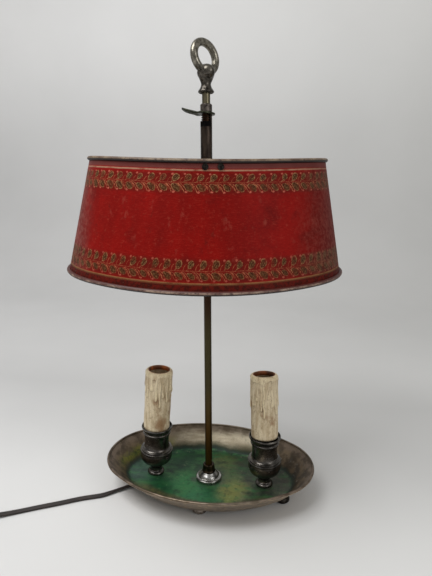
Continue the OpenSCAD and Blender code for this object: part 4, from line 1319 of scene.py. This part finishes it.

# %% [markdown]
# ## Waxed card
# Old wax is cream on the runs and brown in the hollows. The thickness kept in the mesh says which is
# which: just beside a run the colour is darkest. Long streaks, a few brown stains and a fine grain do
# the rest. Inside, the bare card is brown, and the right cover's bore is painted darker, a painted
# shade.

# %% Candle finish


def candle_finish():
    f = Finish("old_wax", {"Metallic": 0.0, "Roughness": 0.5})
    wax = f.node("ShaderNodeAttribute", {"attribute_name": "wax"}, (), "Fac")
    streak = f.noise(3, 4, (1, 1, 6), 1)
    stain = f.noise(12, 4, (1, 1, 1.6), 4)
    fine = f.noise(0.8, 3, (1, 1, 2.4), 7)
    specks = f.noise(1.6, 4, (1, 1, 1.6), 9)
    crevice = wax.band(0.28, 0.16, 0.22) * (stain.rise(0.42, 0.62) * 0.75 + 0.25)
    blotches = f.noise(4.5, 5, (1, 1, 1.5), 14, 0.65)
    radius = []
    for side, x in LIGHTS.items():
        lean, lean_to, (slide, rise), _ = COVERS[side]
        slope, toward = math.tan(math.radians(lean)), math.radians(lean_to)
        reach = (f.z - rise) * slope + slide
        dx, dy = f.x - x - reach * math.cos(toward), f.y - reach * math.sin(toward)
        radius.append((dx * dx + dy * dy).maths("SQRT"))
    inside = radius[0].maths("MINIMUM", radius[1]).rise(11.2, 10.4)
    bare = f.mix(stain.rise(0.4, 0.6), (176, 96, 42), (104, 56, 26))
    colour = f.over(
        f.mix(streak.rise(0.35, 0.65), (196, 176, 142), (226, 210, 178)),
        (stain.rise(0.52, 0.68) * 0.8, (150, 110, 70)),
        (wax.rise(0.45, 1.1) * 0.7, (234, 219, 182)),
        (crevice * 0.9, (96, 70, 46)),
        (blotches.rise(0.54, 0.7) * 0.6, (150, 122, 90)),
        (fine.rise(0.55, 0.7) * 0.5, (124, 102, 72)),
        (specks.rise(0.66, 0.74) * 0.7, (78, 56, 36)),
        # The right cover's bore is painted darker: painted shade inside the tube.
        (inside, f.dim(bare, 1 - f.x.rise(-10, 10) * 0.45)),
    )
    return f.surface(colour, 0.46 + fine * 0.2, None, fine + streak * 0.6 - crevice, 0.2)


dress(candle_finish(), *covers)

# %% [markdown]
# ## Moulded black and the cord
# The black parts are pressed resin with a faint grain. The lead is brown and matt, a little lighter in
# worn patches, with a painted sheen where hands have rubbed it.

# %% Resin, cord and tie


def moulded_finish(name, colour, light, rough, shine=0.5):
    f = Finish(name, {"Metallic": 0.0, "Specular IOR Level": shine})
    grain = f.noise(0.7, 2, seed=2)
    wear_and_sheen = f.noise(7, 4, seed=6)
    # Lighter in patches: wear, and a painted sheen.
    mixed = f.mix(wear_and_sheen.rise(0.45, 0.75), colour, light)
    return f.surface(mixed, rough + wear_and_sheen * 0.2, None, grain, 0.06)


resin = moulded_finish("black_resin", (17, 16, 15), (32, 29, 27), 0.42)
fibre = moulded_finish("black_fibre", (6, 5, 5), (14, 12, 11), 0.7, 0.1)
lead = moulded_finish("brown_lead", (30, 20, 16), (50, 37, 30), 0.42)
hidden_resin = [nodes[n] for n in ("left_lampholder", "right_lampholder", "sleeve_liner")]
dress(resin, switch, rocker, plug, tie, *hidden_resin)
dress(fibre, nodes["grip_washer"])
dress(lead, cord, relief, nodes["left_lead"], nodes["right_lead"])

# %% [markdown]
# ## The painted shade
# The shade is deep red, darker where it is thick and dusty at its ends. Its ends also carry painted
# light: a painted sheen on the left end and painted shade on the right, and a painted shadow lies just
# under the top bead. A gilt line runs round it near each edge, and between the lines lie two garlands:
# a thin vine with small leaves above, larger leaves below, and a row of dots on both sides. One cell of
# the garland is drawn with ellipses and strokes, and repeated along the wall's own map, 65 times at the
# top and 74 at the bottom, with a hand's wobble. The inside is a plain cream that has yellowed.

# %% Shade finish
CELL = 8.9                  # millimetres of wall for one leaf
VINE_TOP, VINE_LOW = 79.6, 16.0
CELLS_TOP, CELLS_LOW = 65, 74
# Each stroke is a point of it, a tilt, half its length, its bow and half its width. Veins belong
# to a leaf's own cell. Blades and shades lie between two leaves.
VEINS = [
    ((0.2, 3.8), 52, 1.5, 0.12, 0.12), ((1.3, 2.9), 48, 1.2, -0.1, 0.12),
    ((0.8, -3.3), -38, 2.2, -0.06, 0.12), ((1.5, -4.3), -34, 2.0, 0.06, 0.1),
    ((-1.5, 0.9), 36, 1.3, 0.14, 0.14),
]
BLADES = [
    ((1.2, -3.4), -54, 3.9, 0.05, 0.24), ((2.4, -2.6), -48, 3.0, 0.08, 0.18),
    ((-0.2, -2.6), -50, 2.8, 0.08, 0.16), ((0.4, 2.4), 56, 1.9, 0.14, 0.14),
]
SHADES = [((1.8, -3.1), -52, 3.2, 0.06, 0.16), ((0.6, -3.6), -54, 3.0, 0.05, 0.14)]


def off_axis(x, y, at, tilt):
    """Coordinates along and across a tilted axis through a point."""
    dx, dy = x - at[0], y - at[1]
    c, s = math.cos(math.radians(tilt)), math.sin(math.radians(tilt))
    return dx * c + dy * s, dy * c - dx * s


def leaf(x, y, at, long, wide, tilt, point=0.0):
    """The distance from a tilted leaf's middle, which is 1 on its outline. A point narrows an end."""
    along, across = off_axis(x, y, at, tilt)
    along = along / long
    across = across / (along * point * wide + wide)
    return (along * along + across * across).maths("SQRT")


def stroke(x, y, at, tilt, long, bow, half):
    """A brush stroke: 1 on a slightly bowed line about a point."""
    along, across = off_axis(x, y, at, tilt)
    return (across + along * along * bow).band(0, half, 0.26) * along.band(0, long, 0.6)


def most(*signals):
    """The greatest of several masks."""
    best = signals[0]
    for signal in signals[1:]:
        best = best.maths("MAXIMUM", signal)
    return best


def shade_finish():
    f = Finish("red_and_gilt", {"Metallic": 0.0, "Roughness": 0.4, "Specular IOR Level": 0.08})
    u, v, _ = f.parts(f.node("ShaderNodeUVMap", {"uv_map": "wall"}))
    height = v * SHADE_RISE
    hand = f.noise(6, 2, seed=3) - 0.5
    shake = f.noise(1.9, 2, seed=5) - 0.5
    upper = height.maths("GREATER_THAN", SHADE_RISE / 2)
    cell = u * (upper * (CELLS_TOP - CELLS_LOW) + CELLS_LOW) + (upper * 0.1 + 0.3) + hand * 0.12
    y = height - (upper * (VINE_TOP - VINE_LOW) + VINE_LOW) + hand * 0.7
    nx, ny, _ = f.parts(f.node("ShaderNodeTexCoord", {}, (), "Normal"))
    outside = (nx * f.x + ny * f.y).rise(-5, 5)
    near = abs(y).rise(9.8, 9.2) * outside
    y = y * (1 - (1 - upper) * y.rise(-0.5, 0.5) * 0.24) + shake * 0.7
    number = cell.maths("FLOOR")
    luck = f.node("ShaderNodeTexWhiteNoise", {"noise_dimensions": "1D"}, {"W": number}) - 0.5
    x = (cell - number - 0.5) * CELL + luck * 0.5 + shake * 0.9
    half_cell = cell + 0.5
    x_between = (half_cell - half_cell.maths("FLOOR") - 0.5) * CELL + shake * 0.9
    grown = luck * 0.3 + 1
    small = leaf(x, y, (0.7, 3.4), 2.7, 1.95, 50, 0.18) * grown
    large = leaf(x, y, (1.2, -3.7), 3.5, 2.15, -36, 0.1) * grown
    lit = (y - x * 0.6).rise(-6, 4) * 0.4 + 0.6
    outlines = most(
        small.band(0.95, 0.08, 0.16), large.band(0.96, 0.06, 0.12),
        *[stroke(x, y, *line) for line in VEINS],
    )
    strokes = most(
        *[stroke(x_between, y, *line) for line in BLADES], y.band(0, 0.14, 0.22) * 0.8
    )
    shadow = most(
        *[stroke(x_between, y, *line) for line in SHADES],
        stroke(x, y, (2.6, 2.8), 55, 1.8, 0.12, 0.2),
    )
    filling = most(small.rise(1.0, 0.75), large.rise(1.0, 0.8))
    heart = most(small.rise(0.5, 0.2), large.rise(0.4, 0.1))
    dots = most(
        leaf(x, y, (-1.6, 5.9), 0.95, 0.75, 10).rise(1.2, 0.6),
        leaf(x, y, (-0.3, -7.0), 1.0, 0.8, 10).rise(1.2, 0.6)
    )
    worn = f.noise(8, 4, seed=12).rise(0.3, 0.5) * near
    scratch = f.noise(1.3, 3, seed=15).rise(0.36, 0.6)
    strength = (upper * 0.2 + 0.8) * (scratch * 0.55 + 0.45) * (worn * 0.6 + 0.4) * near
    streaks = f.noise(26, 4, (1, 1, 3), 43)
    patches = f.noise(16, 4, seed=23)
    fine = f.noise(1.2, 3, seed=27)
    craze = f.noise(3.4, 5, seed=29, rough=0.7)
    weave = f.noise(0.9, 3, (3.5, 3.5, 0.8), 31, 0.7)
    pale = f.noise(7, 5, (1, 1, 1.6), 37, 0.6).rise(0.58, 0.74)
    dark = f.noise(9, 5, (0.7, 0.7, 1.8), 39, 0.6).rise(0.62, 0.74)
    # The ends are dust and painted light together: a painted sheen makes the left end paler, and
    # painted shade makes the right end darker.
    ends_dust_and_light = abs(f.x + (streaks - 0.5) * 16).rise(74, 112)
    left_end_dust_and_sheen = f.mix(craze.rise(0.4, 0.6), (84, 46, 42), (130, 92, 84))
    right_end_dust_and_shade = f.mix(craze.rise(0.4, 0.6), (62, 20, 15), (106, 54, 46))
    ends_dust_sheen_and_shade = f.mix(f.x.rise(-20, 20), left_end_dust_and_sheen, right_end_dust_and_shade)
    border = y.band(-0.8, 7.2, 1.4) * near
    vine = f.mix(scratch, (104, 78, 42), (178, 144, 98))
    low_band = f.mix(craze.rise(0.4, 0.6), (92, 20, 11), (58, 14, 7))
    gilt_top = (height + hand * 0.5).band(88.4, 0.55, 0.4) * outside
    gilt_low = (height + hand * 0.5).band(6.5, 0.9, 0.3) * outside
    gilt = f.mix(worn, (130, 88, 66), (172, 132, 106))
    red = f.over(
        f.mix(streaks.rise(0.3, 0.7), (116, 8, 4), (138, 12, 6)),
        (patches.rise(0.5, 0.75) * 0.5, (88, 10, 7)),
        (craze.rise(0.57, 0.7) * 0.4, (150, 58, 44)),
        (weave.rise(0.54, 0.66) * 0.2, (168, 58, 44)),
        (pale * 0.3, (164, 84, 70)),
        (dark * 0.45, (70, 22, 16)),
        (weave.rise(0.46, 0.34) * 0.28, (84, 6, 3)),
        (ends_dust_and_light * (craze * 0.5 + 0.5), ends_dust_sheen_and_shade),
        (border * (patches * 0.4 + 0.35), (84, 20, 10)),
        (shadow * near * 0.75, (38, 12, 5)),
        (filling * (worn * 0.4 + near * 0.4), f.mix(scratch, (46, 26, 12), (82, 56, 28))),
        (strokes * strength * 0.9, f.mix(scratch, (150, 84, 54), (190, 112, 78))),
        (outlines * strength * lit * (upper * 0.15 + 0.8), vine),
        (heart * worn * 0.6, (52, 34, 14)),
        (dots * near * (scratch * 0.5 + 0.5) * (upper * 0.3 + 0.5), (196, 104, 84)),
        (ends_dust_and_light * border * 0.55, f.mix(craze.rise(0.4, 0.6), (60, 34, 28), (112, 80, 62))),
        (height.rise(89.2, 90), f.mix(patches, (120, 62, 57), (90, 40, 38))),
        # A near-black line just under the top bead: a painted shadow of the bead.
        (height.rise(92.8, 93.6), (22, 4, 3)),
        (height.rise(6.1, 5.3), f.mix(craze.rise(0.62, 0.7) * 0.6, low_band, (120, 66, 50))),
        (gilt_top * (worn * 0.25 + 0.65) * (1 - ends_dust_and_light * 0.45), gilt),
        (gilt_low * (scratch * 0.15 + 0.75), f.mix(worn, (92, 58, 36), (136, 98, 62))),
    )
    gold = most(gilt_top, gilt_low)
    lining = f.mix(streaks.rise(0.35, 0.65), (188, 176, 148), (158, 140, 108))
    lining = f.mix(craze.rise(0.58, 0.72) * 0.5, lining, (104, 80, 56))
    red = f.mix(outside, lining, red)
    bumps = gold + outlines * near * 0.6 + dots * near * 0.8
    bumps = bumps + fine * 0.4 + craze * 0.5 + weave * 0.5
    rough = 0.42 + patches * 0.14 + ends_dust_and_light * 0.1
    return f.surface(red, rough, gold * 0.2, bumps, 0.1)


dress(shade_finish(), shade)


def bead_finish():
    f = Finish("worn_beads", {"Metallic": 0.0})
    patches = f.noise(9, 4, seed=4)
    fine = f.noise(1.5, 3, seed=7)
    top = f.z.rise(250, 300)
    low_colour = f.mix(patches.rise(0.35, 0.65), (84, 52, 44), (146, 122, 106))
    high_colour = f.mix(patches.rise(0.35, 0.65), (92, 70, 54), (134, 116, 94))
    facing_up = f.parts(f.node("ShaderNodeTexCoord", {}, (), "Normal"))[2]
    # Faces of the beads that look down are near black: painted shade under each bead.
    under = f.mix(top, facing_up.rise(-0.1, -0.35), facing_up.rise(0.15, -0.25))
    chips = f.noise(3, 4, seed=11).rise(0.58, 0.66)
    colour = f.over(
        f.mix(fine.rise(0.52, 0.68) * 0.7, f.mix(top, low_colour, high_colour), (52, 30, 26)),
        (chips * 0.8, (48, 26, 20)),
        (under, (22, 9, 6)),
        ((1 - top) * facing_up.rise(0.45, 0.7), (70, 22, 14)),
    )
    return f.surface(colour, 0.42 + patches * 0.2, None, fine, 0.06)


dress(bead_finish(), top_bead, low_bead)

# %% [markdown]
# ## The lead's centreline
# The points of the lead's centreline, in metres.

[list(p * MM) for p in centreline]

# %% [markdown]
# ## Floor, wall and light
# The lamp stands on a pale sheet that bends up behind it, as in a studio. Its brightness is partly
# painted
# light: lighter towards the top, the front and the left, with a darker band behind the lamp. A large
# soft light comes from above on the left, a weaker one from the right, and the world fills the rest at
# a plain level.

# %% Studio
HALF_WIDE = 2.2             # metres, as in the rest of this cell


def add_backdrop():
    bm = bmesh.new()
    front, bend, back, top = -1.6, 0.5, 0.75, 2.6
    arc = [
        (back + bend * math.sin(a), bend - bend * math.cos(a))
        for a in [math.radians(6 * k) for k in range(16)]
    ]
    profile = [(front, 0.0)] + arc + [(back + bend, top)]
    line = outline_edges(bm, [Vector((-HALF_WIDE, y, z)) for y, z in profile], False)
    swept = bmesh.ops.extrude_edge_only(
        bm, edges=[e for e in line if isinstance(e, bmesh.types.BMEdge)]
    )
    bmesh.ops.translate(bm, verts=only_verts(swept["geom"]), vec=(2 * HALF_WIDE, 0, 0))
    sheet = add_object("backdrop", smooth_mesh("backdrop", bm))
    sheet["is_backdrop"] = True
    f = Finish("paper", {"Roughness": 0.9, "Metallic": 0.0})
    tooth = f.noise(300, 3, seed=2)
    # Painted light on the paper: lighter to the left, towards the top and the front, darker in a band
    # behind the lamp.
    colour = f.mix(f.x.rise(-600, 1000), (221, 221, 221), (208, 208, 206))
    bright = 0.83 + f.z.rise(150, 900) * 0.33 + f.y.rise(110, -70) * 0.15
    bright = bright - f.y.band(210, 50, 110) * 0.1 + (tooth - 0.5) * 0.12
    dress(f.surface(f.dim(colour, bright)), sheet)


def add_light(name, place, target, size, watts):
    light = bpy.data.lights.new(name, "AREA")
    light.shape = "RECTANGLE"
    light.size, light.size_y = size
    light.energy = watts
    lamp = add_object(name, light)
    away = Vector(place) - Vector(target)
    turn = away.to_track_quat("Z", "Y").to_matrix().to_4x4()
    lamp.matrix_world = Matrix.Translation(place) @ turn


add_backdrop()
add_light("key", (-0.6, -0.5, 1.6), (0, 0, 0.15), (1.1, 0.9), 22)
add_light("fill", (1.3, -0.9, 0.9), (0, 0, 0.2), (0.8, 1.0), 5)
world = bpy.data.worlds.new("studio")
world.use_nodes = True
world.node_tree.nodes["Background"].inputs["Color"].default_value = linear(206, 205, 202)
world.node_tree.nodes["Background"].inputs["Strength"].default_value = 0.62
bpy.context.scene.world = world
bpy.context.scene.view_settings.view_transform = "Standard"
print("studio ready")

# %% The two boxes
boxes = {"cad": cad_box, "visual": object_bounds()}
{k: [list(c) for c in v] for k, v in boxes.items()}
